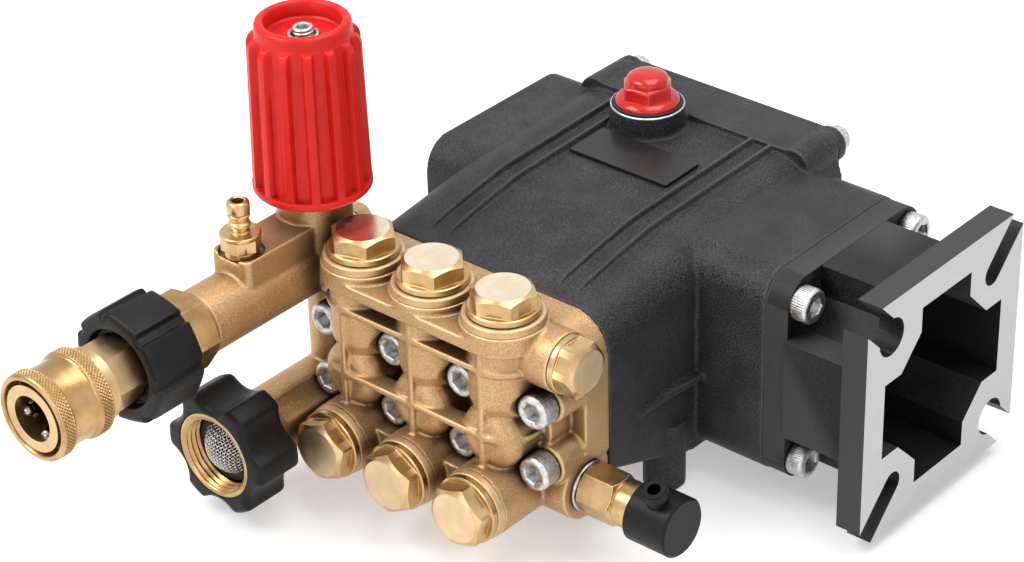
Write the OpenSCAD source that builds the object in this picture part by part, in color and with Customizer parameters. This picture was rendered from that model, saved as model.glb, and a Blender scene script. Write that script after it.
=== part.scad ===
// Triplex plunger pressure washer pump with a hollow drive shaft and a built-in unloader.
// Origin: centre of the engine mounting face, on the crank axis. +X points at the engine,
// -Y at the outlets, +Z up. All lengths are in millimetres.

/* [Pump layout] */
// Distance between neighbouring plungers
pitch = 32; // [31.5:0.5:34]
// Engine mounting face to the middle plunger
face_to_mid = 133.5; // [131:0.5:142]
// Crank throw, half of the plunger stroke
throw = 2.4; // [1.8:0.1:2.4]
// Connecting rod length between pin centres
rod_len = 46; // [45:0.5:48]
// Crank axis to the joint between crankcase and manifold
case_front = 88; // [87:0.5:96]
// Crank axis to the joint between crankcase and rear cover
case_rear = 49; // [44:0.5:56]

/* [Crankcase] */
// Half width of the crankcase across the plungers
case_half_w = 55.5; // [55:0.5:62]
// Height of the crankcase top at its front end
case_top_front = 36.8; // [34:0.2:40]
// Height of the crankcase top at its rear end
case_top_rear = 45; // [43:0.2:52]
// Depth of the crankcase floor at its front end
case_low_front = 25; // [22:0.5:32]
// Depth of the crankcase floor at its rear end
case_low_rear = 42; // [41:0.5:50]
// Casting wall
wall = 6; // [4:0.5:8]
// Radius of the long upper edges of the crankcase
case_edge_r = 15; // [8:0.5:18]
// Half height of the two bearing boxes
box_half = 41; // [40:0.5:46]
// Crank axis to the front wall of the bearing boxes
box_front = 39; // [38:0.5:44]
// Mounting face to the closed end of the idle bearing box
idle_end = 204; // [203:0.5:214]
// Radius of the feet under the crankcase
foot_r = 7.8; // [6.5:0.1:10]
// Depth of the foot soles below the crank axis
foot_depth = 52; // [51:0.5:60]
// Height of the twin ribs on the crankcase top
rib_h = 1.6; // [0.8:0.1:3]

/* [Engine adaptor] */
// Side of the square engine flange
flange_side = 95; // [92:0.5:104]
// Thickness of the engine flange
flange_t = 10; // [7:0.5:14]
// Mounting face to the joint with the crankcase
face_to_case = 48.5; // [47:0.5:50]
// Thickness of the adaptor plate on the crankcase
plate_t = 9.5; // [8:0.5:12]
// Engine bolt circle of a 3/4 inch shaft engine
bolt_circle = 92.08; // [90:0.02:98]
// Width of the engine bolt slots
slot_w = 9.5; // [8.5:0.25:10.5]
// Wall of the hollow adaptor neck
neck_wall = 4.5; // [3.5:0.25:6]
// Half width of the neck's four arms
arm_half_w = 15; // [14:0.25:17]
// Reach of the neck's opening from its centre
arm_reach = 36; // [34:0.25:37]

/* [Crankshaft and bearings] */
// Bore for the engine shaft
drive_bore = 19.05; // [15.875:0.025:20]
// Width of the engine key
key_w = 4.76; // [4:0.02:5]
// Drive side journal
drive_journal = 35; // [33:0.5:36]
// Idle side journal
idle_journal = 25; // [22:0.5:28]
// Outer diameter of the drive bearing
drive_bearing_od = 72; // [70:0.5:72]
// Outer diameter of the idle bearing
idle_bearing_od = 62; // [58:0.5:64]
// Width of both bearings
bearing_w = 17; // [15:0.5:17]
// Crank pin diameter
pin_d = 34; // [32:0.5:35]
// Crank pin width
pin_w = 18; // [16:0.5:18.5]

/* [Plungers] */
// Plunger diameter
plunger_d = 16; // [15:0.25:17]
// Crosshead guide diameter
crosshead_d = 28; // [26.5:0.25:28.5]
// Wrist pin diameter
wrist_pin_d = 8; // [7:0.25:8.5]
// Diameter of the crosshead stub that carries the plunger
stub_d = 14; // [12:0.25:14.5]
// Outer diameter of the plunger seals
packing_d = 28; // [26:0.25:28.5]

/* [Manifold] */
// Thickness of the manifold's rear plate
manifold_plate_t = 12.5; // [11:0.5:14]
// Crank axis to the row of discharge caps
discharge_y = 114.5; // [113.5:0.25:117]
// Height of the discharge cap pads
discharge_pad_z = 42; // [41:0.5:46]
// Outer radius of each discharge column
column_r = 12.2; // [12:0.1:13.5]
// Depth of the inlet valves below the plungers
inlet_z = 25.1; // [25:0.1:27]
// Crank axis to the front ends of the inlet chambers
inlet_front = 132; // [131:0.5:138]
// Outer radius of each inlet chamber
inlet_r = 13.5; // [13:0.25:14.5]
// Across flats of the six valve caps
cap_af = 21; // [19:0.5:22]
// Height of a cap's hexagon
cap_hex_h = 9; // [6:0.5:12]
// Radius of a cap's round flange
cap_flange_r = 12.8; // [12.4:0.1:13.4]
// Thread diameter of the valve caps
cap_thread_d = 20; // [19:0.25:20.5]
// Radius of the water galleries
gallery_r = 6; // [5:0.25:6.5]
// Height of the discharge gallery
gallery_z = 30.5; // [29.5:0.25:32]
// Width of the ribs on the manifold's front
web_t = 2.4; // [1.6:0.1:3.5]
// Outer valve axis to the end faces of the bosses beside it
boss_out = 23; // [20:0.5:26]
// Manifold screw size, M8
screw_d = 8; // [7:0.5:8.5]

/* [Unloader and outlet] */
// Middle plunger to the outlet and inlet pipe axes
side_off = 59.5; // [59:0.25:62]
// Crank axis to the unloader's upright axis
unloader_y = 110; // [109:0.25:112]
// Height of the outlet pipe axis
outlet_z = 31; // [30:0.25:33]
// Outer radius of the outlet pipe
outlet_r = 12; // [11:0.25:13.5]
// Crank axis to the end of the outlet casting
outlet_end = 171; // [166:0.5:176]
// Height of the unloader's upright boss
boss_top = 57; // [56:0.5:62]
// Radius of the unloader's upright boss
boss_r = 13.5; // [12.5:0.25:15]
// Height of the knob
knob_h = 64.3; // [56:0.1:72]
// Radius of the knob at its foot
knob_r = 21.2; // [20:0.1:24]
// Number of grip ribs on the knob
knob_ribs = 14; // [10:1:18]
// Crank axis to the injector barb
barb_y = 146.5; // [144:0.5:150]
// Diameter of the injector barb
barb_d = 8.1; // [7:0.1:9]

/* [Outlet coupler] */
// Across flats of the outlet adapter
adapter_af = 26; // [24:0.5:28]
// Outlet thread diameter, M22
outlet_thread = 22; // [20:0.5:23]
// Outer diameter of the outlet nut
nut_d = 42; // [39:0.5:46]
// Length of the outlet nut
nut_len = 21.5; // [20:0.5:26]
// Outer diameter of the coupler sleeve
sleeve_d = 32; // [31:0.25:35]
// Bore that takes the hose plug
coupler_bore = 15.1; // [14:0.1:15.5]
// Number of locking balls
ball_count = 5; // [4:1:6]

/* [Inlet] */
// Crank axis to the open end of the hose nut
hose_nut_front = 168; // [166:0.5:176]
// Length of the hose nut
hose_nut_len = 20.5; // [20:0.5:24]
// Radius over the lobes of the hose nut
hose_nut_r = 23.5; // [22:0.25:26]
// Inner radius of the garden hose thread
hose_thread_r = 13.2; // [12.9:0.05:13.6]
// Outer radius of the inlet pipe
inlet_pipe_r = 13; // [12.5:0.25:14]

/* [Thermal valve and oil fittings] */
// Across flats of the thermal valve
thermal_af = 17; // [15:0.5:19]
// Radius of the thermal valve's cap
thermal_cap_r = 11; // [10:0.25:12]
// Radius of the oil filler boss
filler_r = 13.9; // [12.5:0.1:16]
// Height of the oil filler boss
filler_top = 53.2; // [51:0.1:58]

/* [Clearances] */
// Gap between a screw thread and its hole
thread_gap = 0.05; // [0.02:0.01:0.1]
// Radial gap of a running fit
run_gap = 0.05; // [0.02:0.01:0.08]
// Gap between parts that slide loosely
slide_gap = 0.3; // [0.2:0.05:0.5]

/* [Hidden] */
$fn = 64;
eps = 0.01;

// ---- derived places ----
mid_x = -face_to_mid;
plunger_x = [for (i = [-1:1]) mid_x + i * pitch];
crank_phase = [90, 210, 330];
side_x = mid_x - side_off;
case_x0 = mid_x - case_half_w;
case_x1 = mid_x + case_half_w;
case_joint_x = -face_to_case;
front_y = -case_front;

// crankcase inside
chamber_front = -(rod_len + wrist_pin_d / 2 + 2 * throw + 5.7);
chamber_half_w = pitch + pin_w / 2 + 5;
chamber_up = 37;
chamber_down = 36;
chamber_step_y = -34;
case_wall_depth = case_front + chamber_front;

// bearings: the drive bearing sits behind the adaptor's spigot, the idle one in the closed box
spigot = 4;
drive_bearing_x1 = case_joint_x - spigot;
drive_bearing_x0 = drive_bearing_x1 - bearing_w;
idle_bearing_x0 = -idle_end + wall + 1;
idle_bearing_x1 = idle_bearing_x0 + bearing_w;

// cross section bands of the packing, measured from the manifold joint towards the front
retainer_y1 = front_y;
retainer_y0 = front_y - 5.5;
low_seal_y0 = retainer_y0 - 4;
mid_ring_y0 = low_seal_y0 - 5;
high_seal_y0 = mid_ring_y0 - 5;
head_ring_y0 = high_seal_y0 - 3;

// plunger set along Y at mid stroke
crosshead_y1 = -(rod_len + wrist_pin_d / 2 + 2 * throw + 8);
crosshead_y0 = crosshead_y1 - 16.2;
seal_bore_y = front_y + 6;
ceramic_y1 = front_y - throw - 0.2;
ceramic_len = 22.8;
ceramic_y0 = ceramic_y1 - ceramic_len;
bolt_head_len = 4.6;
chamber_tip_y = -(discharge_y + 7);
chamber_r = 9;

// manifold
plate_front_y = front_y - manifold_plate_t;
pad_y = plate_front_y - 12.2;
screw_dx = [for (k = [-1.5:1:1.5]) k * pitch];
screw_z = 12.5;
screw_head_r = 6.5;
screw_head_h = 8;
flange_top_z = discharge_pad_z - 3;
flange_bottom_z = flange_top_z - 4.5;
rib_r = column_r + 1.8;
web_front_y = -(discharge_y + rib_r);
inlet_gallery_y = -(case_front + 11.3);
inlet_gallery_r = 8;
inlet_boss_x = plunger_x[2] + boss_out;
gallery_y = -unloader_y;
gallery_boss_x = plunger_x[2] + boss_out;
discharge_seat_z = 20;
seat_h = 4.5;
core_y = plate_front_y - 6;
poppet_h = 3;
poppet_lift = 2.5;
poppet_r = cap_thread_d / 2 - 3;
inlet_seat_y1 = inlet_gallery_y - inlet_gallery_r - 0.2;
inlet_seat_y0 = inlet_seat_y1 - seat_h;
valve_bore_r = cap_thread_d / 2;
discharge_plug_z = gallery_z + gallery_r + 1;
inlet_plug_y = -(inlet_front - 5);
cap_flange_t = 2.6;

// unloader and outlet
knob_z0 = boss_top + 2.5;
gland_flange_z = boss_top;
piston_z0 = gallery_z + gallery_r + 1.5;
piston_h = 6;
unloader_bore_r = 8;
spring_z0 = piston_z0 + piston_h;
spring_plate_z = spring_z0 + 8;
knob_screw_r = 4;
knob_recess = 6.2;
knob_floor_z = knob_z0 + knob_h - knob_recess;
ridge_top = outlet_z + 18.5;
barb_seat_z = ridge_top - 1.5;

hex_y1 = -(outlet_end + 1);
adapter_hex_len = 13;
nut_y1 = hex_y1 - adapter_hex_len - 0.8;
nut_y0 = nut_y1 - nut_len;
thread_y0 = hex_y1 - adapter_hex_len - 14.5;
nut_wall_y = thread_y0 - 1.4;
tail_hex_y1 = nut_wall_y - 3.4;
coupler_y0 = -(outlet_end + 74.5);
tail_hex_af = 22;
tail_hex_y0 = nut_y0 - 11;
sleeve_travel = 4;
sleeve_y1 = tail_hex_y0 - sleeve_travel - 0.6;
ball_r = 2.5;
ball_y = coupler_y0 + 9.3;
body_r = 12.2;

// inlet
inlet_pipe_end = hose_nut_front - 21;
hose_ring_wall_y = -(hose_nut_front - 13);
hose_thread_len = 7;

function rounded(n) = floor(n + 0.5);

// ---- shared shapes ----
module along_x(x0, x1, r) {
  translate([min(x0, x1), 0, 0]) rotate([0, 90, 0]) cylinder(h = abs(x1 - x0), r = r);
}

module along_y(y0, y1, r) {
  translate([0, max(y0, y1), 0]) rotate([90, 0, 0]) cylinder(h = abs(y1 - y0), r = r);
}

module along_z(z0, z1, r) {
  translate([0, 0, min(z0, z1)]) cylinder(h = abs(z1 - z0), r = r);
}

module block(x0, x1, y0, y1, z0, z1) {
  translate([x0, y0, z0]) cube([x1 - x0, y1 - y0, z1 - z0]);
}

// Rectangle with round corners, built from exact shapes
module soft_rect(x0, x1, y0, y1, r) {
  translate([x0 + r, y0]) square([x1 - x0 - 2 * r, y1 - y0]);
  translate([x0, y0 + r]) square([x1 - x0, y1 - y0 - 2 * r]);
  for (x = [x0 + r, x1 - r], y = [y0 + r, y1 - r]) translate([x, y]) circle(r = r);
}

// Slab square to X or Y with a round cornered outline
module slab_x(x0, x1, y0, y1, z0, z1, r) {
  translate([x0, 0, 0]) rotate([90, 0, 90]) linear_extrude(x1 - x0) soft_rect(y0, y1, z0, z1, r);
}

module slab_y(y0, y1, x0, x1, z0, z1, r) {
  translate([0, y1, 0]) rotate([90, 0, 0]) linear_extrude(y1 - y0) soft_rect(x0, x1, z0, z1, r);
}

// Hexagon bar on Z with its end corners turned off
module hex_bar(af, h, bevel = true) {
  corner_r = af / 2 / cos(30);
  intersection() {
    cylinder(h = h, r = corner_r, $fn = 6);
    union() {
      cylinder(h = h - 1.2, r = corner_r + 1);
      if (bevel)
        translate([0, 0, h - 1.2 - eps]) cylinder(h = 1.2 + eps, r1 = corner_r, r2 = af / 2 - 1.2);
      else
        cylinder(h = h, r = corner_r + 1);
    }
  }
}

// Socket head cap screw on Z, head up, underside of the head at z = 0
module cap_screw(d, len, head_r, head_h) {
  difference() {
    union() {
      translate([0, 0, -len]) cylinder(h = len + eps, r = d / 2);
      cylinder(h = head_h - 0.6, r = head_r);
      translate([0, 0, head_h - 0.6 - eps]) cylinder(h = 0.6 + eps, r1 = head_r, r2 = head_r - 0.6);
    }
    translate([0, 0, head_h * 0.45]) cylinder(h = head_h, r = head_r * 0.53, $fn = 6);
  }
}

// Ring on Z
module ring(r_out, r_in, h) {
  difference() {
    cylinder(h = h, r = r_out);
    translate([0, 0, -eps]) cylinder(h = h + 2 * eps, r = r_in);
  }
}

// Round cord seal on Z
module o_ring(r_mid, r_cord) {
  rotate_extrude() translate([r_mid, 0]) circle(r = r_cord, $fn = 24);
}

// Turns a Z shape so that its top points along -Y, +Y, +X or -X
module point_front() { rotate([90, 0, 0]) children(); }
module point_rear() { rotate([-90, 0, 0]) children(); }
module point_right() { rotate([0, 90, 0]) children(); }

// Coil spring on Z, swept as one closed skin
module coil(r_mid, r_wire, h, turns) {
  sides = 6;
  per_turn = 14;
  rings = rounded(turns * per_turn);
  rise = h - 2 * r_wire;
  points = [
    for (i = [0:rings], k = [0:sides - 1])
      let (a = 360 * i / per_turn, b = 360 * k / sides, r = r_mid + r_wire * cos(b))
        [r * cos(a), r * sin(a), r_wire + rise * i / rings + r_wire * sin(b)]
  ];
  skin = [
    for (i = [0:rings - 1], k = [0:sides - 1])
      let (n = (k + 1) % sides)
        [i * sides + k, (i + 1) * sides + k, (i + 1) * sides + n, i * sides + n]
  ];
  start = [for (k = [0:sides - 1]) k];
  end = [for (k = [sides - 1:-1:0]) rings * sides + k];
  polyhedron(points = points, faces = concat([start], skin, [end]), convexity = 6);
}

// ---- crankcase ----
foot_places = [for (x = [mid_x - 50, mid_x + 50], y = [-50, 26]) [x, y]];
cover_bolts = [for (x = [mid_x - 46.5, mid_x + 46.5], z = [-case_low_rear + 3, case_top_rear - 4]) [x, z]];
adaptor_bolt_y = box_front - 7;
adaptor_bolt_z = box_half - 9;
filler_at = [mid_x - 12.5, 19.5];
cover_t = 4.5;
gasket_t = 0.5;
band_len = 19;
band_rise = 2;
crest_y = -40;
crest_z = case_top_rear - 2.2;

// Height of the crankcase top along Y: a slope up to the crest, then nearly flat
function top_z(y) = y < crest_y
  ? case_top_front + (crest_z - case_top_front) * (y + case_front) / (crest_y + case_front)
  : crest_z + (case_top_rear - crest_z) * (y - crest_y) / (case_rear - crest_y);

// Round edged bar whose top climbs from z0 at y0 to z1 at y1
module roof(y0, y1, z0, z1) {
  translate([0, y0, z0]) rotate([atan((z1 - z0) / (y1 - y0)), 0, 0])
    slab_y(front_y - y0 - 30, case_rear - y0 + 30, case_x0, case_x1, -140, 0, case_edge_r);
}

// Box with two roof slopes that meet at the crest, and a floor that drops towards the rear
module case_body() {
  intersection() {
    roof(front_y, crest_y, case_top_front, crest_z);
    roof(crest_y, case_rear, crest_z, case_top_rear);
    translate([case_x0 - 1, 0, 0]) rotate([90, 0, 90]) linear_extrude(2 * case_half_w + 2)
      polygon([[front_y, -case_low_front], [crest_y, -case_low_rear], [case_rear, -case_low_rear],
               [case_rear, case_top_rear + 20], [front_y, case_top_rear + 20]]);
  }
}

module bearing_boxes() {
  slab_x(case_x1 - 12, case_joint_x, -box_front, box_front + 2, -box_half - 1, box_half, 11);
  slab_x(-idle_end, case_x0 + 12, -box_front - 1, box_front + 2.5, -box_half, box_half + 0.8, 12);
}

module rear_band() {
  slab_y(case_rear - band_len, case_rear, case_x0 + 5, case_x1 - 5, -case_low_rear - band_rise,
         case_top_rear + band_rise, 8);
  for (b = cover_bolts) translate([b[0], 0, b[1]]) along_y(case_rear - band_len, case_rear, 7);
}

module twin_ribs() {
  for (x = [mid_x - 32.6, mid_x - 24.6, mid_x + 27.4, mid_x + 36])
    translate([x - 0.8, 0, 0]) rotate([90, 0, 90]) linear_extrude(1.6)
      polygon([[front_y + 8, top_z(front_y + 8) - 2], [front_y + 9, top_z(front_y + 9)],
               [crest_y, crest_z + rib_h], [case_rear - band_len, top_z(case_rear - band_len) + rib_h],
               [case_rear - band_len, case_low_rear - 8]]);
}

module side_gussets() {
  for (side = [-1, 1])
    translate([mid_x, 0, 0]) scale([side, 1, 1])
      translate([0, 0, -11]) linear_extrude(3)
        polygon([[case_half_w - 5, -72], [case_half_w + 0.3, -72], [case_half_w + 4, -box_front + 2],
                 [case_half_w + 4, -box_front + 9], [case_half_w - 5, -box_front + 9]]);
}

module crankcase() {
  color([0.13, 0.13, 0.14])
  difference() {
    union() {
      case_body();
      bearing_boxes();
      rear_band();
      twin_ribs();
      side_gussets();
      translate([filler_at[0], filler_at[1], 0]) along_z(case_top_rear - 9, filler_top, filler_r);
      for (f = foot_places) translate([f[0], f[1], 0]) along_z(-foot_depth, -case_low_front, foot_r);
    }
    // crank chamber, open at the rear
    block(mid_x - chamber_half_w, mid_x + chamber_half_w, chamber_step_y, case_rear + eps,
          -chamber_down, chamber_up - 8);
    block(mid_x - chamber_half_w, mid_x + chamber_half_w, chamber_front, case_rear + eps,
          -case_low_front + 1, chamber_up - 8);
    block(mid_x - chamber_half_w + 8, mid_x + chamber_half_w - 8, chamber_step_y, case_rear + eps,
          0, chamber_up);
    // drive bearing seat and the way in for the crankshaft
    along_x(drive_bearing_x0, case_joint_x + eps, drive_bearing_od / 2);
    along_x(mid_x, drive_bearing_x0 + eps, drive_bearing_od / 2 - 6);
    // idle bearing seat
    along_x(idle_bearing_x0, idle_bearing_x1, idle_bearing_od / 2);
    along_x(idle_bearing_x1 - eps, mid_x, idle_bearing_od / 2 - 5);
    // crosshead guides and oil seal pockets
    for (x = plunger_x) translate([x, 0, 0]) {
      along_y(chamber_front + eps, seal_bore_y - 1, crosshead_d / 2 + run_gap);
      along_y(front_y - eps, seal_bore_y, 13);
    }
    for (dx = screw_dx, z = [-screw_z, screw_z])
      translate([mid_x + dx, 0, z]) along_y(front_y - eps, front_y + 18, screw_d / 2 + thread_gap);
    for (y = [-adaptor_bolt_y, adaptor_bolt_y], z = [-adaptor_bolt_z, adaptor_bolt_z])
      translate([0, y, z]) along_x(case_joint_x - 16, case_joint_x + eps, screw_d / 2 + thread_gap);
    for (b = cover_bolts)
      translate([b[0], 0, b[1]]) along_y(case_rear - 14, case_rear + eps, 3 + thread_gap);
    for (f = foot_places)
      translate([f[0], f[1], 0]) along_z(-foot_depth - eps, -foot_depth + 12, 3.4);
    translate([filler_at[0], filler_at[1], 0]) along_z(chamber_up - 8, filler_top + eps, 8 + thread_gap);
  }
}

module cover_outline(y0, y1, shrink) {
  slab_y(y0, y1, case_x0 + 5 + shrink, case_x1 - 5 - shrink, -case_low_rear - band_rise + shrink,
         case_top_rear + band_rise - shrink, 8 - shrink);
}

module rear_cover() {
  y0 = case_rear + gasket_t;
  color([0.13, 0.13, 0.14])
  difference() {
    union() {
      cover_outline(y0, y0 + cover_t, 0);
      for (b = cover_bolts) translate([b[0], 0, b[1]]) along_y(y0, y0 + cover_t, 7);
      slab_y(y0 + cover_t - eps, y0 + cover_t + 4, mid_x - 38, mid_x + 38, -30, 32, 9);
      for (x = [mid_x - 24, mid_x, mid_x + 24])
        slab_y(y0 + cover_t, y0 + cover_t + 6, x - 1.5, x + 1.5, -26, 28, 1.4);
    }
    slab_y(y0 - eps, y0 + cover_t - 0.5, mid_x - 34, mid_x + 34, -26, 28, 6);
    for (b = cover_bolts)
      translate([b[0], 0, b[1]]) along_y(y0 - eps, y0 + cover_t + eps, 3 + slide_gap);
    translate([mid_x + 12, 0, 0]) along_y(y0 - eps, y0 + 20, 9 + thread_gap);
    translate([mid_x - 12, 0, -18]) along_y(y0 - eps, y0 + 20, 5 + thread_gap);
  }
}

module case_gaskets() {
  y0 = case_rear;
  color([0.25, 0.3, 0.28]) {
    difference() {
      union() {
        cover_outline(y0, y0 + gasket_t, 0.4);
        for (b = cover_bolts) translate([b[0], 0, b[1]]) along_y(y0, y0 + gasket_t, 6.6);
      }
      slab_y(y0 - 1, y0 + 1, mid_x - chamber_half_w, mid_x + chamber_half_w, -chamber_down,
             chamber_up - 8, 2);
      for (b = cover_bolts) translate([b[0], 0, b[1]]) along_y(y0 - 1, y0 + 1, 3 + slide_gap);
    }
    difference() {
      slab_x(case_joint_x, case_joint_x + gasket_t, -box_front + 0.6, box_front + 1.4,
             -box_half - 0.4, box_half - 0.6, 10.4);
      along_x(case_joint_x - 1, case_joint_x + 1, drive_bearing_od / 2);
      for (y = [-adaptor_bolt_y, adaptor_bolt_y], z = [-adaptor_bolt_z, adaptor_bolt_z])
        translate([0, y, z]) along_x(case_joint_x - 1, case_joint_x + 1, screw_d / 2 + slide_gap);
    }
  }
}

module rear_cover_screws() {
  color([0.75, 0.76, 0.78])
  for (b = cover_bolts)
    translate([b[0], case_rear + gasket_t + cover_t, b[1]]) point_rear() cap_screw(6, 18, 5, 6);
}

module sight_glass() {
  color([0.85, 0.8, 0.5, 0.7])
  translate([mid_x + 12, case_rear + gasket_t + cover_t + 6, 0]) {
    along_y(-6, 0, 9);
    along_y(-eps, 2.5, 11.5);
    along_y(2, 4, 8);
  }
}

module drain_plug() {
  color([0.75, 0.76, 0.78])
  translate([mid_x - 12, case_rear + gasket_t + cover_t + 4, -18]) {
    along_y(-6, eps, 5);
    along_y(0, 1.5, 8);
    translate([0, 1.5 - eps, 0]) point_rear() hex_bar(13, 6);
  }
}

module oil_fill_cap() {
  color([0.85, 0.08, 0.06])
  translate([filler_at[0], filler_at[1], filler_top]) {
    translate([0, 0, -12]) cylinder(h = 12 + eps, r = 8);
    cylinder(h = 1.8, r = 12.1);
    translate([0, 0, 1.8 - eps]) cylinder(h = 1.4, r1 = 12.1, r2 = 10.2);
    translate([0, 0, 3.2 - 2 * eps]) hex_bar(17.5, 5.4);
    translate([0, 0, 7.9]) cylinder(h = 2.8, r1 = 8.2, r2 = 7.6);
    translate([0, 0, 10.7 - eps]) cylinder(h = 1.7, r1 = 7.6, r2 = 5);
  }
}

module nameplate() {
  tilt = atan((case_top_rear - crest_z) / (case_rear - crest_y));
  plate_len = filler_at[1] - filler_r - 0.4 + 14.3;
  color([0.09, 0.09, 0.1])
  translate([mid_x, -3.5, top_z(-3.5)]) rotate([tilt, 0, 0])
    translate([-22.5, -10.8, 0.08]) cube([45, plate_len, 1.3]);
}

// ---- engine adaptor ----
opening_pts = [[arm_half_w, arm_reach], [arm_half_w, arm_reach - 9.7], [arm_reach - 9.7, arm_half_w],
               [arm_reach, arm_half_w]];
neck_half = arm_half_w + neck_wall;
neck_reach = arm_reach + neck_wall;

// Plus shaped outline with bevelled inner corners
module plus_outline(half, reach, inner) {
  polygon([for (q = [0:3], p = [[half, reach], [half, inner], [inner, half], [reach, half]])
             let (a = -90 * q, s = q % 2 == 0 ? p : p)
               [s[0] * cos(a) - s[1] * sin(a), s[0] * sin(a) + s[1] * cos(a)]]);
}

module flange_slots() {
  r_bolt = bolt_circle / 2;
  // narrow slots at the top rear and bottom front corners
  for (a = [45, 225]) rotate(a) {
    translate([r_bolt - 5, 0]) circle(r = slot_w / 2);
    translate([r_bolt - 5, -slot_w / 2]) square([40, slot_w]);
  }
  // wide notches at the other two corners
  for (a = [135, 315]) rotate(a) {
    translate([r_bolt + 1, 0]) circle(r = slot_w / 2 + 2.4);
    translate([r_bolt, -slot_w / 2 - 0.8]) square([40, slot_w + 1.6]);
  }
}

module engine_adaptor() {
  half = flange_side / 2;
  color([0.13, 0.13, 0.14])
  difference() {
    union() {
      // flange
      rotate([90, 0, 90]) translate([0, 0, -flange_t]) linear_extrude(flange_t)
        difference() {
          soft_rect(-half, half, -half, half, 2);
          flange_slots();
          plus_outline(arm_half_w, arm_reach, arm_reach - 9.7);
        }
      // neck
      rotate([90, 0, 90]) translate([0, 0, case_joint_x + plate_t - eps])
        linear_extrude(face_to_case - plate_t - flange_t + 2 * eps)
          difference() {
            plus_outline(neck_half, neck_reach, neck_reach - 11.6);
            plus_outline(arm_half_w, arm_reach, arm_reach - 9.7);
          }
      // plate on the crankcase, with its spigot
      difference() {
        slab_x(case_joint_x + gasket_t, case_joint_x + plate_t, -box_front + 0.4, box_front + 1.6,
               -box_half - 0.6, box_half - 0.4, 10.6);
        for (y = [-adaptor_bolt_y, adaptor_bolt_y], z = [-adaptor_bolt_z, adaptor_bolt_z])
          translate([0, y, z]) along_x(case_joint_x - 1, -flange_t, screw_d / 2 + slide_gap);
      }
      along_x(case_joint_x - spigot + 0.1, case_joint_x + gasket_t + eps, drive_bearing_od / 2 - run_gap);
    }
    along_x(case_joint_x - spigot - 1, case_joint_x + plate_t + 1, drive_journal / 2 + 8);
    along_x(case_joint_x - spigot - 1, case_joint_x - 2, drive_bearing_od / 2 - 7);
  }
}

module adaptor_screws() {
  color([0.75, 0.76, 0.78])
  for (y = [-adaptor_bolt_y, adaptor_bolt_y], z = [-adaptor_bolt_z, adaptor_bolt_z])
    translate([case_joint_x + plate_t, y, z]) point_right() cap_screw(screw_d, plate_t + 14, screw_head_r, 7);
}

module shaft_seal() {
  color([0.15, 0.15, 0.15])
  translate([case_joint_x - 1.5, 0, 0]) rotate([0, 90, 0])
    difference() {
      cylinder(h = 8, r = drive_journal / 2 + 8);
      translate([0, 0, -eps]) cylinder(h = 8 + 2 * eps, r = drive_journal / 2 + run_gap);
      translate([0, 0, 5.5]) cylinder(h = 8, r = drive_journal / 2 + 6);
    }
}

// ---- crankshaft, bearings and rods ----
module bearing_seat_groove(r_ball_path, r_ball) {
  rotate_extrude() translate([r_ball_path, 0]) circle(r = r_ball + run_gap, $fn = 32);
}

// One ball bearing on X around its middle; part is "outer", "inner" or "balls"
module ball_bearing(od, id, part) {
  path = (od + id) / 4;
  ball = (od - id) / 2 * 0.27;
  count = floor(2 * PI * path / (2 * ball) * 0.62);
  rotate([0, 90, 0]) {
    if (part == "outer") difference() {
      ring_at(od / 2, path + ball * 0.55);
      bearing_seat_groove(path, ball);
    }
    if (part == "inner") difference() {
      ring_at(path - ball * 0.55, id / 2);
      bearing_seat_groove(path, ball);
    }
    if (part == "balls")
      for (i = [0:count - 1]) rotate(i * 360 / count) translate([path, 0, 0]) sphere(r = ball, $fn = 32);
  }
}

module ring_at(r_out, r_in) {
  translate([0, 0, -bearing_w / 2]) ring(r_out, r_in, bearing_w);
}

module at_bearings() {
  translate([(drive_bearing_x0 + drive_bearing_x1) / 2, 0, 0]) children(0);
  translate([(idle_bearing_x0 + idle_bearing_x1) / 2, 0, 0]) children(1);
}

module bearing_outer_rings() {
  color([0.7, 0.72, 0.74]) at_bearings() {
    union() {
      ball_bearing(drive_bearing_od, drive_journal, "outer");
      ball_bearing(drive_bearing_od, drive_journal, "balls");
    }
    union() {
      ball_bearing(idle_bearing_od, idle_journal, "outer");
      ball_bearing(idle_bearing_od, idle_journal, "balls");
    }
  }
}

module bearing_inner_rings() {
  color([0.7, 0.72, 0.74]) at_bearings() {
    ball_bearing(drive_bearing_od, drive_journal, "inner");
    ball_bearing(idle_bearing_od, idle_journal, "inner");
  }
}

function pin_offset(i) = throw * [cos(crank_phase[i]), sin(crank_phase[i])];

shaft_mouth_x = case_joint_x + 4.5;
shaft_bore_len = 36;

module crankshaft() {
  color([0.55, 0.56, 0.58])
  difference() {
    union() {
      along_x(drive_bearing_x0, shaft_mouth_x, drive_journal / 2);
      along_x(idle_bearing_x0, idle_bearing_x1, idle_journal / 2);
      along_x(drive_bearing_x0 - 4, drive_bearing_x0, drive_journal / 2 + 3);
      along_x(idle_bearing_x1, idle_bearing_x1 + 4, idle_journal / 2 + 3);
      along_x(idle_bearing_x1, drive_bearing_x0, pin_d / 2 - throw - 1);
      for (i = [0:2])
        translate([0, pin_offset(i)[0], pin_offset(i)[1]])
          along_x(plunger_x[i] - pin_w / 2, plunger_x[i] + pin_w / 2, pin_d / 2);
    }
    along_x(shaft_mouth_x - shaft_bore_len, shaft_mouth_x + eps, drive_bore / 2);
    block(shaft_mouth_x - shaft_bore_len + 6, shaft_mouth_x + eps, -key_w / 2, key_w / 2, 0,
          drive_bore / 2 + 1.9);
  }
}

rod_ring_r = 22.6;
rod_w = pin_w - 1.4;
eye_r = wrist_pin_d / 2 + 2 * throw + 0.15;
eye_wall = 2.5;
eye_w = 12;

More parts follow.
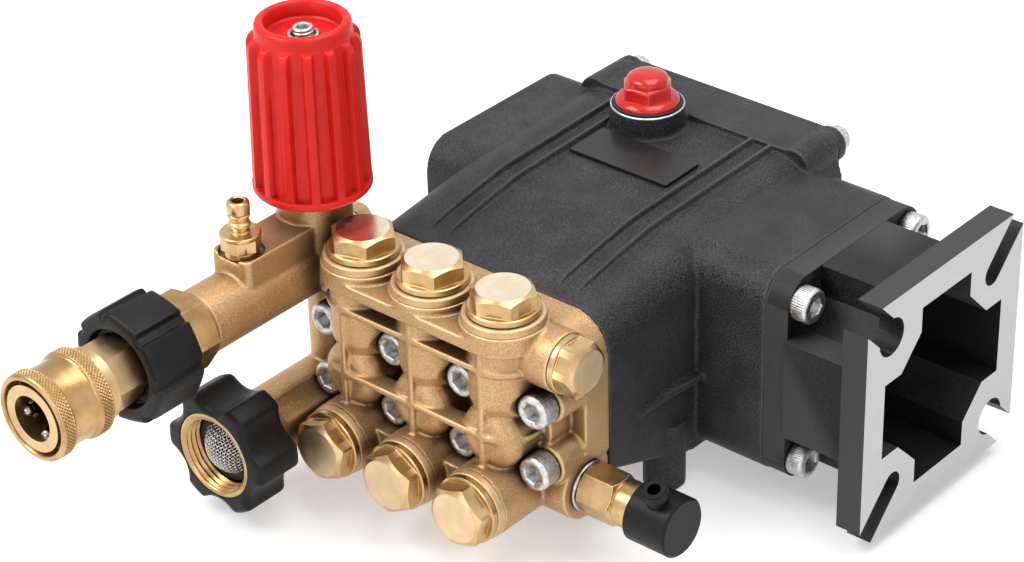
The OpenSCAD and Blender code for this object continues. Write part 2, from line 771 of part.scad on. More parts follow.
// One rod with its cap and cap screws, in place on its crank pin
module connecting_rod(i) {
  color([0.72, 0.73, 0.75])
  translate([plunger_x[i], pin_offset(i)[0], pin_offset(i)[1]]) {
    split = 0.15;
    difference() {
      union() {
        along_x(-rod_w / 2, rod_w / 2, rod_ring_r);
        block(-rod_w / 2, rod_w / 2, -7, 7, -rod_ring_r - 2.6, rod_ring_r + 2.6);
        translate([0, -rod_len, 0]) along_x(-eye_w / 2, eye_w / 2, eye_r + eye_wall);
        block(-eye_w / 2 + 1, eye_w / 2 - 1, -rod_len + eye_r + 1, -rod_ring_r + 4, -6, 6);
      }
      along_x(-rod_w, rod_w, pin_d / 2 + run_gap);
      translate([0, -rod_len, 0]) along_x(-rod_w, rod_w, eye_r);
      block(-rod_w, rod_w, -split, split, -2 * rod_ring_r, 2 * rod_ring_r);
      for (s = [-1, 1]) translate([0, 0, s * (pin_d / 2 + 4.3)]) {
        along_y(-8, 8, 2.1);
        along_y(7, 20, 3.5);
      }
    }
    for (s = [-1, 1]) translate([0, 7.03, s * (pin_d / 2 + 4.3)]) point_rear() cap_screw(4, 13, 3.2, 2.6);
  }
}

module connecting_rod_1() connecting_rod(0);
module connecting_rod_2() connecting_rod(1);
module connecting_rod_3() connecting_rod(2);

// ---- crossheads and plungers ----
module crosshead(i) {
  slot = eye_w + 1;
  ear_end = -rod_len + wrist_pin_d / 2 + 3;
  bolt_r = 3;
  color([0.62, 0.63, 0.66])
  translate([plunger_x[i], 0, 0]) {
    difference() {
      union() {
        along_y(crosshead_y0, crosshead_y1, crosshead_d / 2);
        intersection() {
          along_y(crosshead_y1 - eps, ear_end, crosshead_d / 2);
          for (s = [-1, 1])
            block(s > 0 ? slot / 2 : -crosshead_d, s > 0 ? crosshead_d : -slot / 2,
                  crosshead_y1 - 1, ear_end + 1, -8, 8);
        }
        along_y(ceramic_y1, crosshead_y0 + eps, stub_d / 2);
      }
      translate([0, -rod_len, 0]) along_x(-crosshead_d, crosshead_d, wrist_pin_d / 2 + run_gap);
      along_y(ceramic_y1 - eps, ceramic_y1 + 14, bolt_r + thread_gap);
    }
    // wrist pin
    translate([0, -rod_len, 0]) along_x(-crosshead_d / 2 + 2, crosshead_d / 2 - 2, wrist_pin_d / 2);
    // bolt that clamps the plunger
    translate([0, ceramic_y0, 0]) point_front() {
      translate([0, 0, -ceramic_len - 13]) cylinder(h = ceramic_len + 13 + eps, r = bolt_r);
      cylinder(h = 0.8, r = plunger_d / 2 - 1);
      translate([0, 0, 0.8 - eps]) hex_bar(10, bolt_head_len - 0.8);
    }
  }
}

module plunger(i) {
  color([0.93, 0.92, 0.88])
  translate([plunger_x[i], 0, 0])
    difference() {
      along_y(ceramic_y0, ceramic_y1, plunger_d / 2);
      along_y(ceramic_y0 - eps, ceramic_y1 + eps, 3 + thread_gap);
    }
}

module crosshead_1() crosshead(0);
module crosshead_2() crosshead(1);
module crosshead_3() crosshead(2);
module plunger_1() plunger(0);
module plunger_2() plunger(1);
module plunger_3() plunger(2);

module oil_seals() {
  color([0.15, 0.15, 0.15])
  for (x = plunger_x) translate([x, seal_bore_y, 0]) rotate([90, 0, 0])
    difference() {
      cylinder(h = 6, r = 13);
      translate([0, 0, -eps]) cylinder(h = 6 + 2 * eps, r = stub_d / 2 + run_gap);
      translate([0, 0, 2]) cylinder(h = 6, r = stub_d / 2 + 3.4);
    }
}

// Ring of the packing between two stations
module packing_ring(x, y0, y1, gap) {
  translate([x, 0, 0]) difference() {
    along_y(y0, y1, packing_d / 2);
    along_y(y0 - eps, y1 + eps, plunger_d / 2 + gap);
  }
}

module packing_seals() {
  color([0.12, 0.12, 0.13])
  for (x = plunger_x) {
    packing_ring(x, low_seal_y0, retainer_y0, run_gap);
    packing_ring(x, high_seal_y0, mid_ring_y0, run_gap);
  }
}

module packing_rings() {
  color([0.78, 0.6, 0.32])
  for (x = plunger_x) {
    packing_ring(x, retainer_y0, retainer_y1, 0.6);
    packing_ring(x, mid_ring_y0, low_seal_y0, 0.15);
    packing_ring(x, head_ring_y0, high_seal_y0, 0.15);
  }
}

// ---- manifold ----
dome_z = -2;
column_low_z = outlet_z - 18.5;
bulb_r = column_r + 0.4;
bulb_cord = 5.9;
boss_screw_r = 7.5;
valve_x = plunger_x;
pad_r = cap_flange_r + 2.7;
link_r = 11;
leg_y = plate_front_y - 3.5;
leg_r = 9;
bypass_y = plate_front_y + 1;
bypass_r = 2.5;
bypass_plug_at = [side_x + 3, outlet_z + 6.5];
bypass_plug_y = plate_front_y + 3;
plug_thread_r = 7;

// Plate with long outline that follows the three discharge columns
module top_plate() {
  translate([0, -discharge_y, flange_bottom_z]) linear_extrude(flange_top_z - flange_bottom_z) {
    for (x = [valve_x[0], valve_x[2]]) translate([x, 0]) circle(r = pad_r);
    translate([valve_x[0], -pad_r]) square([2 * pitch, pad_r + discharge_y + plate_front_y]);
  }
  for (x = valve_x) translate([x, -discharge_y, 0]) along_z(flange_top_z - eps, discharge_pad_z, pad_r);
  block(valve_x[0] - column_r + 4, valve_x[2] + column_r - 4, -discharge_y, plate_front_y,
        flange_top_z - eps, discharge_pad_z);
}

// Narrow ribs across the front of the casting
module front_ribs() {
  for (x = valve_x)
    block(x - web_t / 2, x + web_t / 2, web_front_y, -discharge_y, -15, flange_bottom_z + 1);
  for (z = [outlet_z - 4.3, 0.2])
    translate([0, -discharge_y, z - web_t / 2]) linear_extrude(web_t) {
      for (x = [valve_x[0], valve_x[2]]) translate([x, 0]) circle(r = rib_r);
      translate([valve_x[0], -rib_r]) square([2 * pitch, 8]);
    }
}

module valve_columns() {
  for (x = valve_x) {
    translate([x, -discharge_y - 0.9, 0])
      rotate_extrude() polygon([[0, dome_z], [column_r - 3, dome_z], [column_r - 3, column_low_z - 4.5],
                                [column_r - 1.5, column_low_z - 4], [column_r, column_low_z],
                                [column_r, flange_bottom_z + 1], [0, flange_bottom_z + 1]]);
    // round ended plunger chamber
    translate([x, 0, dome_z]) {
      along_y(chamber_tip_y, core_y - 4, bulb_r);
      along_y(chamber_tip_y - bulb_cord + 0.7, core_y - 4, bulb_r - 0.2 - bulb_cord);
      translate([0, chamber_tip_y + 0.5, 0]) point_front()
        rotate_extrude() translate([bulb_r - 0.2 - bulb_cord, 0]) circle(r = bulb_cord, $fn = 48);
    }
    translate([x, 0, 0]) along_y(core_y - 5, plate_front_y, packing_d / 2 + 3);
    translate([x, -discharge_y - 3.5, 0]) along_z(-inlet_z, dome_z, column_r - 5);
    translate([x, 0, -inlet_z]) along_y(-inlet_front, inlet_gallery_y, inlet_r);
  }
  block(valve_x[0] - 9, valve_x[2] + 9, core_y, plate_front_y + eps, -18, flange_top_z);
  block(valve_x[0], valve_x[2], -inlet_front + 6, inlet_gallery_y, -inlet_z - 2.5, -inlet_z + 6);
}

module inlet_run() {
  intersection() {
    union() {
      translate([0, inlet_gallery_y, -inlet_z]) along_x(side_x, inlet_boss_x, inlet_pipe_r);
      translate([side_x, inlet_gallery_y, -inlet_z]) sphere(r = inlet_pipe_r + 0.6);
      translate([side_x, 0, -inlet_z]) along_y(-inlet_pipe_end, inlet_gallery_y, inlet_pipe_r);
    }
    block(side_x - 40, case_x1 + 10, -inlet_pipe_end, front_y, -inlet_z - 20, -inlet_z + 20);
  }
  translate([side_x, leg_y, 0]) along_z(-inlet_z, outlet_z, leg_r);
}

module unloader_casting() {
  translate([side_x, 0, outlet_z]) along_y(-outlet_end, bypass_plug_y - 0.5, outlet_r);
  translate([bypass_plug_at[0], 0, bypass_plug_at[1]]) along_y(gallery_y, bypass_plug_y, 8);
  translate([0, gallery_y, gallery_z]) along_x(side_x, gallery_boss_x, link_r);
  translate([side_x, gallery_y, 0]) along_z(outlet_z, boss_top, boss_r);
  // ridge that carries the injector
  translate([0, 0, outlet_z]) linear_extrude(ridge_top - outlet_z)
    soft_rect(side_x - 9, side_x + 9, -barb_y - 6.7, gallery_y, 3);
}

module manifold_bores() {
  for (x = valve_x) {
    translate([x, 0, 0]) {
      along_y(front_y + eps, head_ring_y0, packing_d / 2);
      along_y(head_ring_y0 + eps, chamber_tip_y, chamber_r);
    }
    translate([x, -discharge_y, 0]) {
      along_z(0, discharge_seat_z + eps, valve_bore_r - 3);
      along_z(discharge_seat_z, discharge_pad_z + eps, valve_bore_r + thread_gap);
    }
    translate([x, 0, -inlet_z]) {
      along_y(-inlet_front - eps, inlet_seat_y1, valve_bore_r + thread_gap);
      along_y(inlet_seat_y1 - eps, inlet_gallery_y, valve_bore_r - 5);
    }
    translate([x, -discharge_y - 3.5, 0]) along_z(-inlet_z, 0, 4.5);
  }
  translate([0, gallery_y, gallery_z]) {
    along_x(side_x, gallery_boss_x - 10 + eps, gallery_r);
    along_x(gallery_boss_x - 10, gallery_boss_x + eps, plug_thread_r + thread_gap);
    along_x(gallery_boss_x, gallery_boss_x + 14, 10.8);
  }
  translate([0, inlet_gallery_y, -inlet_z]) {
    along_x(side_x, inlet_boss_x - 10, inlet_gallery_r);
    along_x(inlet_boss_x - 10 - eps, inlet_boss_x + eps, 6.5 + thread_gap);
    along_x(inlet_boss_x, inlet_boss_x + 14, 10);
    translate([side_x, 0, 0]) sphere(r = inlet_gallery_r + 0.4);
  }
  translate([side_x, 0, -inlet_z]) {
    along_y(-inlet_pipe_end + 17, inlet_gallery_y, inlet_gallery_r);
    along_y(-inlet_pipe_end - eps, -inlet_pipe_end + 17 + eps, 9.5 + thread_gap);
  }
  // bypass from the unloader down to the inlet
  translate([side_x, bypass_y, 0]) along_z(-inlet_z, bypass_plug_at[1], bypass_r);
  translate([bypass_plug_at[0], 0, bypass_plug_at[1]])
    along_y(bypass_plug_y - 4, bypass_plug_y + eps, 4.5 + thread_gap);
  translate([bypass_plug_at[0], 0, bypass_plug_at[1]]) along_y(bypass_plug_y, front_y, 8);
  translate([bypass_plug_at[0], 0, piston_z0 + 1.8]) along_y(gallery_y, bypass_plug_y - 3, 1.2);
  // unloader and outlet
  translate([side_x, gallery_y, 0]) {
    along_z(outlet_z, piston_z0 + eps, gallery_r);
    along_z(piston_z0, boss_top + eps, unloader_bore_r + thread_gap);
  }
  translate([side_x, 0, outlet_z]) {
    along_y(-outlet_end + 13, gallery_y, gallery_r);
    along_y(-outlet_end - eps, -outlet_end + 13 + eps, unloader_bore_r + thread_gap);
  }
  translate([side_x, -barb_y, 0]) {
    along_z(outlet_z, barb_seat_z - 6, 2.5);
    along_z(barb_seat_z - 6 - eps, ridge_top + eps, 4 + thread_gap);
    along_z(barb_seat_z, ridge_top + 1, 8);
  }
}

module manifold_screw_holes() {
  for (dx = screw_dx, z = [-screw_z, screw_z]) translate([mid_x + dx, 0, z]) {
    along_y(front_y + eps, pad_y - eps, screw_d / 2 + slide_gap);
    along_y(pad_y, pad_y - 30, screw_head_r + 0.4);
  }
}

module manifold() {
  color([0.78, 0.6, 0.36])
  difference() {
    union() {
      slab_y(plate_front_y, front_y, case_x0, case_x1, -18, case_top_front, case_edge_r);
      slab_y(plate_front_y, front_y, case_x0, case_x1, -18, 10, 3);
      for (dx = screw_dx, z = [-screw_z, screw_z])
        translate([mid_x + dx, 0, z]) along_y(pad_y, plate_front_y + eps, boss_screw_r);
      top_plate();
      front_ribs();
      valve_columns();
      translate([0, gallery_y, gallery_z]) along_x(valve_x[2], gallery_boss_x, link_r - 0.5);
      inlet_run();
      unloader_casting();
    }
    manifold_bores();
    manifold_screw_holes();
  }
}

module manifold_screws() {
  color([0.75, 0.76, 0.78])
  for (dx = screw_dx, z = [-screw_z, screw_z])
    translate([mid_x + dx, pad_y, z]) point_front()
      cap_screw(screw_d, front_y - pad_y + 15, screw_head_r, screw_head_h);
}

// ---- valves ----
// Places every discharge valve on Z, or every inlet valve turned towards the front
module at_discharge(z) {
  for (x = valve_x) translate([x, -discharge_y, z]) children();
}

module at_inlet(y) {
  for (x = valve_x) translate([x, y, -inlet_z]) point_front() children();
}

// Screwed cap on Z, its flange underside at z = 0
module valve_cap(thread_len) {
  difference() {
    union() {
      translate([0, 0, -thread_len]) cylinder(h = thread_len + eps, r = cap_thread_d / 2);
      cylinder(h = cap_flange_t - 0.6, r = cap_flange_r);
      translate([0, 0, cap_flange_t - 0.6 - eps])
        cylinder(h = 0.6 + eps, r1 = cap_flange_r, r2 = cap_flange_r - 0.6);
      translate([0, 0, cap_flange_t - eps]) hex_bar(cap_af, cap_hex_h);
    }
    translate([0, 0, -thread_len - eps]) cylinder(h = 2, r = poppet_r + 0.4);
  }
}

module valve_caps() {
  color([0.86, 0.7, 0.42]) {
    at_discharge(discharge_pad_z) valve_cap(discharge_pad_z - discharge_plug_z);
    at_inlet(-inlet_front) valve_cap(-inlet_plug_y < inlet_front ? inlet_front + inlet_plug_y : 5);
  }
}

cap_seal_r = 0.9;

module cap_seals() {
  color([0.1, 0.1, 0.1]) {
    at_discharge(discharge_plug_z - cap_seal_r) o_ring(valve_bore_r - cap_seal_r - 0.02, cap_seal_r);
    at_inlet(inlet_plug_y + cap_seal_r) o_ring(valve_bore_r - cap_seal_r - 0.02, cap_seal_r);
  }
}

module valve_seat() {
  difference() {
    cylinder(h = seat_h, r = valve_bore_r);
    translate([0, 0, -eps]) cylinder(h = seat_h + 2 * eps, r = 5);
  }
}

module valve_seats() {
  color([0.72, 0.73, 0.75]) {
    at_discharge(discharge_seat_z) valve_seat();
    at_inlet(inlet_seat_y1) valve_seat();
  }
}

module poppet() {
  cylinder(h = poppet_h, r = poppet_r);
  translate([0, 0, poppet_h - eps]) cylinder(h = 2.2, r1 = 3.4, r2 = 2.8);
}

module discharge_poppet(i) {
  color([0.8, 0.8, 0.82])
  translate([valve_x[i], -discharge_y, discharge_seat_z + seat_h]) poppet();
}

module inlet_poppet(i) {
  color([0.8, 0.8, 0.82])
  translate([valve_x[i], inlet_seat_y0, -inlet_z]) point_front() poppet();
}

module discharge_poppet_1() discharge_poppet(0);
module discharge_poppet_2() discharge_poppet(1);
module discharge_poppet_3() discharge_poppet(2);
module inlet_poppet_1() inlet_poppet(0);
module inlet_poppet_2() inlet_poppet(1);
module inlet_poppet_3() inlet_poppet(2);

module valve_springs() {
  low = discharge_seat_z + seat_h + poppet_h;
  near = inlet_seat_y0 - poppet_h;
  color([0.7, 0.7, 0.72]) {
    at_discharge(low) coil(5.2, 0.6, discharge_plug_z + 2 - low, 4.5);
    at_inlet(near) coil(5.2, 0.6, near - inlet_plug_y + 2, 5.5);
  }
}

module gallery_plugs() {
  color([0.86, 0.7, 0.42]) {
    translate([gallery_boss_x, gallery_y, gallery_z]) point_right() {
      translate([0, 0, -9]) cylinder(h = 9 + eps, r = plug_thread_r);
      cylinder(h = 2.3, r = 10.5);
      translate([0, 0, 2.3 - eps]) hex_bar(18, 7.4);
    }
    translate([bypass_plug_at[0], bypass_plug_y, bypass_plug_at[1]]) point_rear() {
      translate([0, 0, -3]) cylinder(h = 3 + eps, r = 4.5);
      cylinder(h = 1.2, r = 7.2);
      translate([0, 0, 1.2 - eps]) rotate(30) hex_bar(13, 7);
    }
  }
}

// ---- unloader ----
module unloader_gland() {
  color([0.86, 0.7, 0.42])
  translate([side_x, gallery_y, boss_top])
    difference() {
      union() {
        translate([0, 0, -7]) cylinder(h = 7 + eps, r = unloader_bore_r);
        cylinder(h = 1.5, r = 12.5);
        hex_bar(22, 6);
      }
      translate([0, 0, -7 - eps]) cylinder(h = 9, r = 6.8);
      translate([0, 0, -1]) cylinder(h = 8, r = knob_screw_r + thread_gap);
    }
}

module unloader_piston() {
  color([0.75, 0.76, 0.78])
  translate([side_x, gallery_y, piston_z0]) {
    cylinder(h = piston_h, r = unloader_bore_r);
    translate([0, 0, piston_h - eps]) cylinder(h = 2.4, r = 3);
  }
}

module unloader_spring() {
  color([0.7, 0.7, 0.72])
  translate([side_x, gallery_y, spring_z0]) coil(5.2, 1, spring_plate_z - spring_z0, 3.5);
}

module knob_screw() {
  top = knob_floor_z + 3.4;
  color([0.75, 0.76, 0.78])
  translate([side_x, gallery_y, 0])
    difference() {
      union() {
        along_z(spring_plate_z, spring_plate_z + 1.8, 6.4);
        along_z(spring_plate_z, top, knob_screw_r);
      }
      along_z(top - 4, top + eps, 2.3, $fn = 6);
    }
}

module knob() {
  neck_z = knob_h - 5;
  grip_low = knob_r - 2.6;
  grip_top = knob_r - 4;
  color([0.85, 0.08, 0.06])
  translate([side_x, gallery_y, knob_z0])
    difference() {
      union() {
        cylinder(h = 1.4, r1 = knob_r - 0.8, r2 = knob_r);
        translate([0, 0, 1.4 - eps]) cylinder(h = 2.2, r = knob_r);
        translate([0, 0, 3]) cylinder(h = neck_z - 3, r1 = grip_low, r2 = grip_top);
        translate([0, 0, neck_z - eps]) cylinder(h = 3.6, r = grip_top - 0.3);
        translate([0, 0, neck_z + 3.6 - 2 * eps])
          cylinder(h = 1.4 + 2 * eps, r1 = grip_top - 0.3, r2 = grip_top - 1.7);
        intersection() {
          cylinder(h = neck_z - 0.4, r1 = knob_r - 0.1, r2 = knob_r - 1.3);
          for (i = [0:knob_ribs - 1]) rotate((i + 0.36) * 360 / knob_ribs)
            translate([knob_r - 7, -1.6, 1]) cube([8, 3.2, neck_z]);
        }
      }
      // way over the gland, screw bore and top recess
      translate([0, 0, -eps]) cylinder(h = 12, r = 14.2);
      translate([0, 0, -eps]) cylinder(h = knob_h, r = knob_screw_r);
      translate([0, 0, knob_h - knob_recess]) cylinder(h = 7, r = knob_r - 7.8);
    }
}

module injector_barb() {
  land = barb_d / 2;
  color([0.86, 0.7, 0.42])
  translate([side_x, -barb_y, barb_seat_z])
    difference() {
      union() {
        translate([0, 0, -5]) cylinder(h = 5 + eps, r = 4);
        cylinder(h = 2.8, r = 6.3);
        translate([0, 0, 2.8 - eps]) hex_bar(12.6, 4.8, false);
        translate([0, 0, 7.4]) cylinder(h = 1.6, r = 7.3);
        translate([0, 0, 9 - eps]) cylinder(h = 10, r = land - 0.9);
        for (z = [10.2, 13.6]) translate([0, 0, z]) {
          cylinder(h = 2, r1 = land - 0.9, r2 = land - 0.1);
          translate([0, 0, 2 - eps]) cylinder(h = 0.8, r1 = land - 0.1, r2 = land - 0.9);
        }
        translate([0, 0, 16.6]) cylinder(h = 3.6, r = land);
        translate([0, 0, 20.2 - eps]) cylinder(h = 1, r1 = land, r2 = land - 1);
      }
      translate([0, 0, -5 - eps]) cylinder(h = 27, r = 2);
    }
}

// ---- outlet ----
male_r = outlet_thread / 2;

module outlet_adapter() {
  color([0.86, 0.7, 0.42])
  translate([side_x, 0, outlet_z])
    difference() {
      union() {
        along_y(-outlet_end, -outlet_end + 11, unloader_bore_r);
        along_y(hex_y1 - 1, -outlet_end, adapter_af / 2);
        translate([0, hex_y1, 0]) point_front() hex_bar(adapter_af, adapter_hex_len);
        along_y(thread_y0, hex_y1 - adapter_hex_len + eps, male_r);
      }
      along_y(-outlet_end + 12, thread_y0 - eps, gallery_r);
      along_y(thread_y0 + 9, thread_y0 - eps, 7.1);
    }
}

module m22_handwheel() {
  r = nut_d / 2;
  groove_r = 2.6;
  color([0.08, 0.08, 0.09])
  translate([side_x, nut_y1, outlet_z]) point_front()
    difference() {
      union() {
        cylinder(h = 1, r1 = r - 1, r2 = r);
        translate([0, 0, 1 - eps]) cylinder(h = nut_len - 2 + 2 * eps, r = r);
        translate([0, 0, nut_len - 1]) cylinder(h = 1, r1 = r, r2 = r - 1);
      }
      for (i = [0:6]) rotate(i * 360 / 7) translate([r + 0.6, 0, -eps])
        cylinder(h = nut_len + 1, r = groove_r);
      translate([0, 0, -eps]) cylinder(h = nut_y1 - nut_wall_y + eps, r = male_r + thread_gap);
      translate([0, 0, -eps]) cylinder(h = nut_len + 1, r = 9.3);
      translate([0, 0, nut_len - 4]) cylinder(h = 5, r = 14.5);
    }
}

module coupler_tail() {
  color([0.86, 0.7, 0.42])
  translate([side_x, 0, outlet_z])
    difference() {
      union() {
        along_y(thread_y0 + 8, thread_y0, 7);
        along_y(thread_y0 + eps, nut_wall_y + 0.2, male_r - 0.6);
        along_y(nut_wall_y + 0.2 + eps, tail_hex_y1, 9);
        along_y(tail_hex_y1 + eps, tail_hex_y1 - 8, 8);
      }
      along_y(thread_y0 + 9, tail_hex_y1 - 9, 4.5);
    }
}

land_y = coupler_y0 + 6.7;
cavity_y = coupler_y0 + 12;
collar_y = cavity_y + 9;
collar_r = body_r + 1.4;
recess_r = body_r + 1.5;
bore_r = coupler_bore / 2;

module coupler_body() {
  color([0.84, 0.68, 0.4])
  translate([side_x, 0, outlet_z])
    difference() {
      union() {
        translate([0, tail_hex_y1, 0]) point_front() hex_bar(tail_hex_af, tail_hex_y1 - tail_hex_y0, false);
        along_y(collar_y, tail_hex_y0 + eps, collar_r);
        along_y(coupler_y0 + 0.3, collar_y + eps, body_r);
      }
      along_y(tail_hex_y1 + eps, tail_hex_y1 - 8.5, 8 + thread_gap);
      along_y(tail_hex_y1, coupler_y0, 4.5);
      along_y(collar_y + 2, coupler_y0 + 6.3, bore_r + 0.25);
      along_y(coupler_y0 + 6.3 + eps, coupler_y0, bore_r);
      for (i = [0:ball_count - 1]) rotate([0, (i + 0.5) * 360 / ball_count, 0])
        translate([0, ball_y, 0]) along_z(0, body_r + 1, ball_r + 0.1);
      // groove of the clip
      difference() {
        along_y(land_y - 1.2, land_y - 0.1, body_r + 1);
        along_y(land_y - 2, land_y, body_r - 0.6);
      }
    }
}

module coupler_balls() {
  color([0.8, 0.8, 0.82])
  for (i = [0:ball_count - 1])
    translate([side_x, 0, outlet_z]) rotate([0, (i + 0.5) * 360 / ball_count, 0])
      translate([0, ball_y, body_r + run_gap - ball_r - 0.02]) sphere(r = ball_r, $fn = 32);
}

module coupler_clip() {
  color([0.7, 0.7, 0.72])
  translate([side_x, 0, outlet_z])
    difference() {
      along_y(land_y - 1.15, land_y - 0.15, body_r + 1.1);
      along_y(land_y - 2, land_y + 1, body_r - 0.6);
      block(-1.5, 1.5, land_y - 2, land_y + 1, 0, body_r + 3);
    }
}

module coupler_spring() {
  color([0.7, 0.7, 0.72])
  translate([side_x, collar_y - 0.1, outlet_z]) point_front()
    coil(body_r + 0.9, 0.5, collar_y - cavity_y - 0.2, 3);
}

module coupler_sleeve() {
  r = sleeve_d / 2;
  len = sleeve_y1 - coupler_y0;
  color([0.86, 0.7, 0.42])
  translate([side_x, sleeve_y1, outlet_z]) point_front()
    difference() {
      union() {
        cylinder(h = 0.7, r1 = r - 0.7, r2 = r);
        translate([0, 0, 0.7 - eps]) cylinder(h = 4.3, r = r);
        translate([0, 0, 5 - 2 * eps]) cylinder(h = len - 10 + 4 * eps, r = r - 1.1);
        translate([0, 0, len - 5]) cylinder(h = 4.3, r = r);
        translate([0, 0, len - 0.7 - eps]) cylinder(h = 0.7 + eps, r1 = r, r2 = r - 0.7);
      }
      translate([0, 0, -eps]) cylinder(h = sleeve_y1 - cavity_y + eps, r = recess_r);
      translate([0, 0, -eps]) cylinder(h = len + 1, r = body_r + run_gap);
      translate([0, 0, sleeve_y1 - land_y]) cylinder(h = len, r = recess_r);
    }
}

// ---- inlet ----
module inlet_tail() {
  color([0.86, 0.7, 0.42])
  translate([side_x, 0, -inlet_z])
    difference() {
      union() {
        along_y(-inlet_pipe_end, -inlet_pipe_end + 16, 9.5);
        along_y(-inlet_pipe_end + eps, hose_ring_wall_y - eps, 10);
        along_y(hose_ring_wall_y, hose_ring_wall_y - 2, hose_thread_r - 0.3);
      }
      along_y(-inlet_pipe_end + 17, hose_ring_wall_y - 3, 6.5);
    }
}

ring_outer_r = hose_thread_r + 3.4;

module hose_nut_ring() {
  color([0.86, 0.7, 0.42])
  translate([side_x, 0, -inlet_z])
    difference() {
      along_y(-hose_nut_front, hose_ring_wall_y + 4, ring_outer_r);
      along_y(-hose_nut_front - eps, -hose_nut_front + hose_thread_len, hose_thread_r);
      along_y(-hose_nut_front + hose_thread_len - eps, hose_ring_wall_y, hose_thread_r + 0.6);
      along_y(hose_ring_wall_y - 1, hose_ring_wall_y + 5, 10.15);
    }
}

module hose_nut_cover() {
  scallop = 13;
  color([0.08, 0.08, 0.09])
  translate([side_x, -hose_nut_front + hose_nut_len, -inlet_z]) point_front()
    difference() {
      union() {
        cylinder(h = 1.5, r1 = hose_nut_r - 1.5, r2 = hose_nut_r);
        translate([0, 0, 1.5 - eps]) cylinder(h = hose_nut_len - 3 + 2 * eps, r = hose_nut_r);
        translate([0, 0, hose_nut_len - 1.5]) cylinder(h = 1.5, r1 = hose_nut_r, r2 = hose_nut_r - 1.5);
      }
      for (i = [0:5]) rotate(i * 60 + 30)
        translate([ring_outer_r + 2.6 + scallop, 0, -eps]) cylinder(h = hose_nut_len + 1, r = scallop);
      translate([0, 0, -eps]) cylinder(h = hose_nut_len + 1, r = inlet_pipe_r + 0.5);
      translate([0, 0, hose_nut_len - hose_nut_front - hose_ring_wall_y - 4])
        cylinder(h = hose_nut_len, r = ring_outer_r);
    }
}

filter_depth = 3.6;

module inlet_filter() {
  rim_y = hose_ring_wall_y - 2;
  color([0.6, 0.6, 0.62])
  translate([side_x, rim_y, -inlet_z]) point_front()
    difference() {
      union() {
        cylinder(h = 1.2, r = hose_thread_r - 0.4);
        intersection() {
          translate([0, 0, filter_depth - 15]) sphere(r = 15);
          cylinder(h = filter_depth + 1, r = 9.5);
        }
      }
      translate([0, 0, filter_depth - 15.6]) sphere(r = 15);
      translate([0, 0, -20 + eps]) cylinder(h = 20, r = 20);
    }
}

// ---- thermal valve ----
thermal_hex_end = 16;
thermal_len = 24;
thermal_stem = 6;

module thermal_valve_body() {
  color([0.86, 0.7, 0.42])
  translate([inlet_boss_x, inlet_gallery_y, -inlet_z]) point_right()
    difference() {
      union() {
        translate([0, 0, -9]) cylinder(h = 9 + eps, r = 6.5);
        cylinder(h = 1.5, r = 9.5);
        translate([0, 0, 1.5 - eps]) hex_bar(thermal_af, thermal_hex_end - 1.5);
        translate([0, 0, thermal_hex_end - 1]) cylinder(h = thermal_len - thermal_hex_end + 1, r = 8.6);
        translate([0, 0, thermal_len - 0.5]) cylinder(h = thermal_stem + 0.5, r = 5);
      }
      translate([0, 0, -9 - eps]) cylinder(h = thermal_len + thermal_stem + 10, r = 2.5);
    }
}

module thermal_valve_cap() {
  cap_len = 17.5;
  barb_at = 9.6;
  color([0.1, 0.1, 0.11])
  translate([inlet_boss_x + thermal_len, inlet_gallery_y, -inlet_z])
    difference() {
      union() {
        along_x(0, cap_len - 0.8, thermal_cap_r);
        translate([cap_len - 0.8 - eps, 0, 0]) rotate([0, 90, 0])
          cylinder(h = 0.8 + eps, r1 = thermal_cap_r, r2 = thermal_cap_r - 0.8);
        translate([barb_at, 0, 0]) rotate([20, 0, 0]) {
          along_z(0, 17, 4.1);
          translate([0, 0, 14]) cylinder(h = 2.6, r1 = 4.7, r2 = 4.3);
        }
      }
      along_x(-eps, thermal_stem + 0.2, 5 + thread_gap);
      along_x(0, cap_len - 4, 3.2);
      translate([barb_at, 0, 0]) rotate([20, 0, 0]) along_z(0, 18, 2.4);
    }
}

crankcase();
rear_cover();
case_gaskets();
rear_cover_screws();
engine_adaptor();
adaptor_screws();
shaft_seal();
oil_seals();
oil_fill_cap();
nameplate();
sight_glass();
drain_plug();
bearing_outer_rings();
bearing_inner_rings();
crankshaft();
connecting_rod_1();
connecting_rod_2();
connecting_rod_3();
crosshead_1();
crosshead_2();
crosshead_3();
plunger_1();
plunger_2();
plunger_3();
manifold();
manifold_screws();
valve_caps();
cap_seals();
valve_seats();
valve_springs();
packing_seals();
packing_rings();
discharge_poppet_1();
discharge_poppet_2();
discharge_poppet_3();
inlet_poppet_1();
inlet_poppet_2();
inlet_poppet_3();
gallery_plugs();
unloader_gland();
unloader_piston();
unloader_spring();
knob();
knob_screw();
injector_barb();
outlet_adapter();
m22_handwheel();
coupler_tail();
coupler_body();
coupler_sleeve();
coupler_balls();
coupler_spring();
coupler_clip();
inlet_tail();
hose_nut_cover();
hose_nut_ring();
inlet_filter();
thermal_valve_body();
thermal_valve_cap();
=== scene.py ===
"""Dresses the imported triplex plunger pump: castings, brass fittings, grips and a plain studio."""

import logging
import math
from dataclasses import dataclass
from enum import Enum
from typing import Any, Callable, Dict, List, Optional, Sequence, Tuple, Union

import bmesh
import bpy
import numpy as np
from mathutils import Matrix, Vector


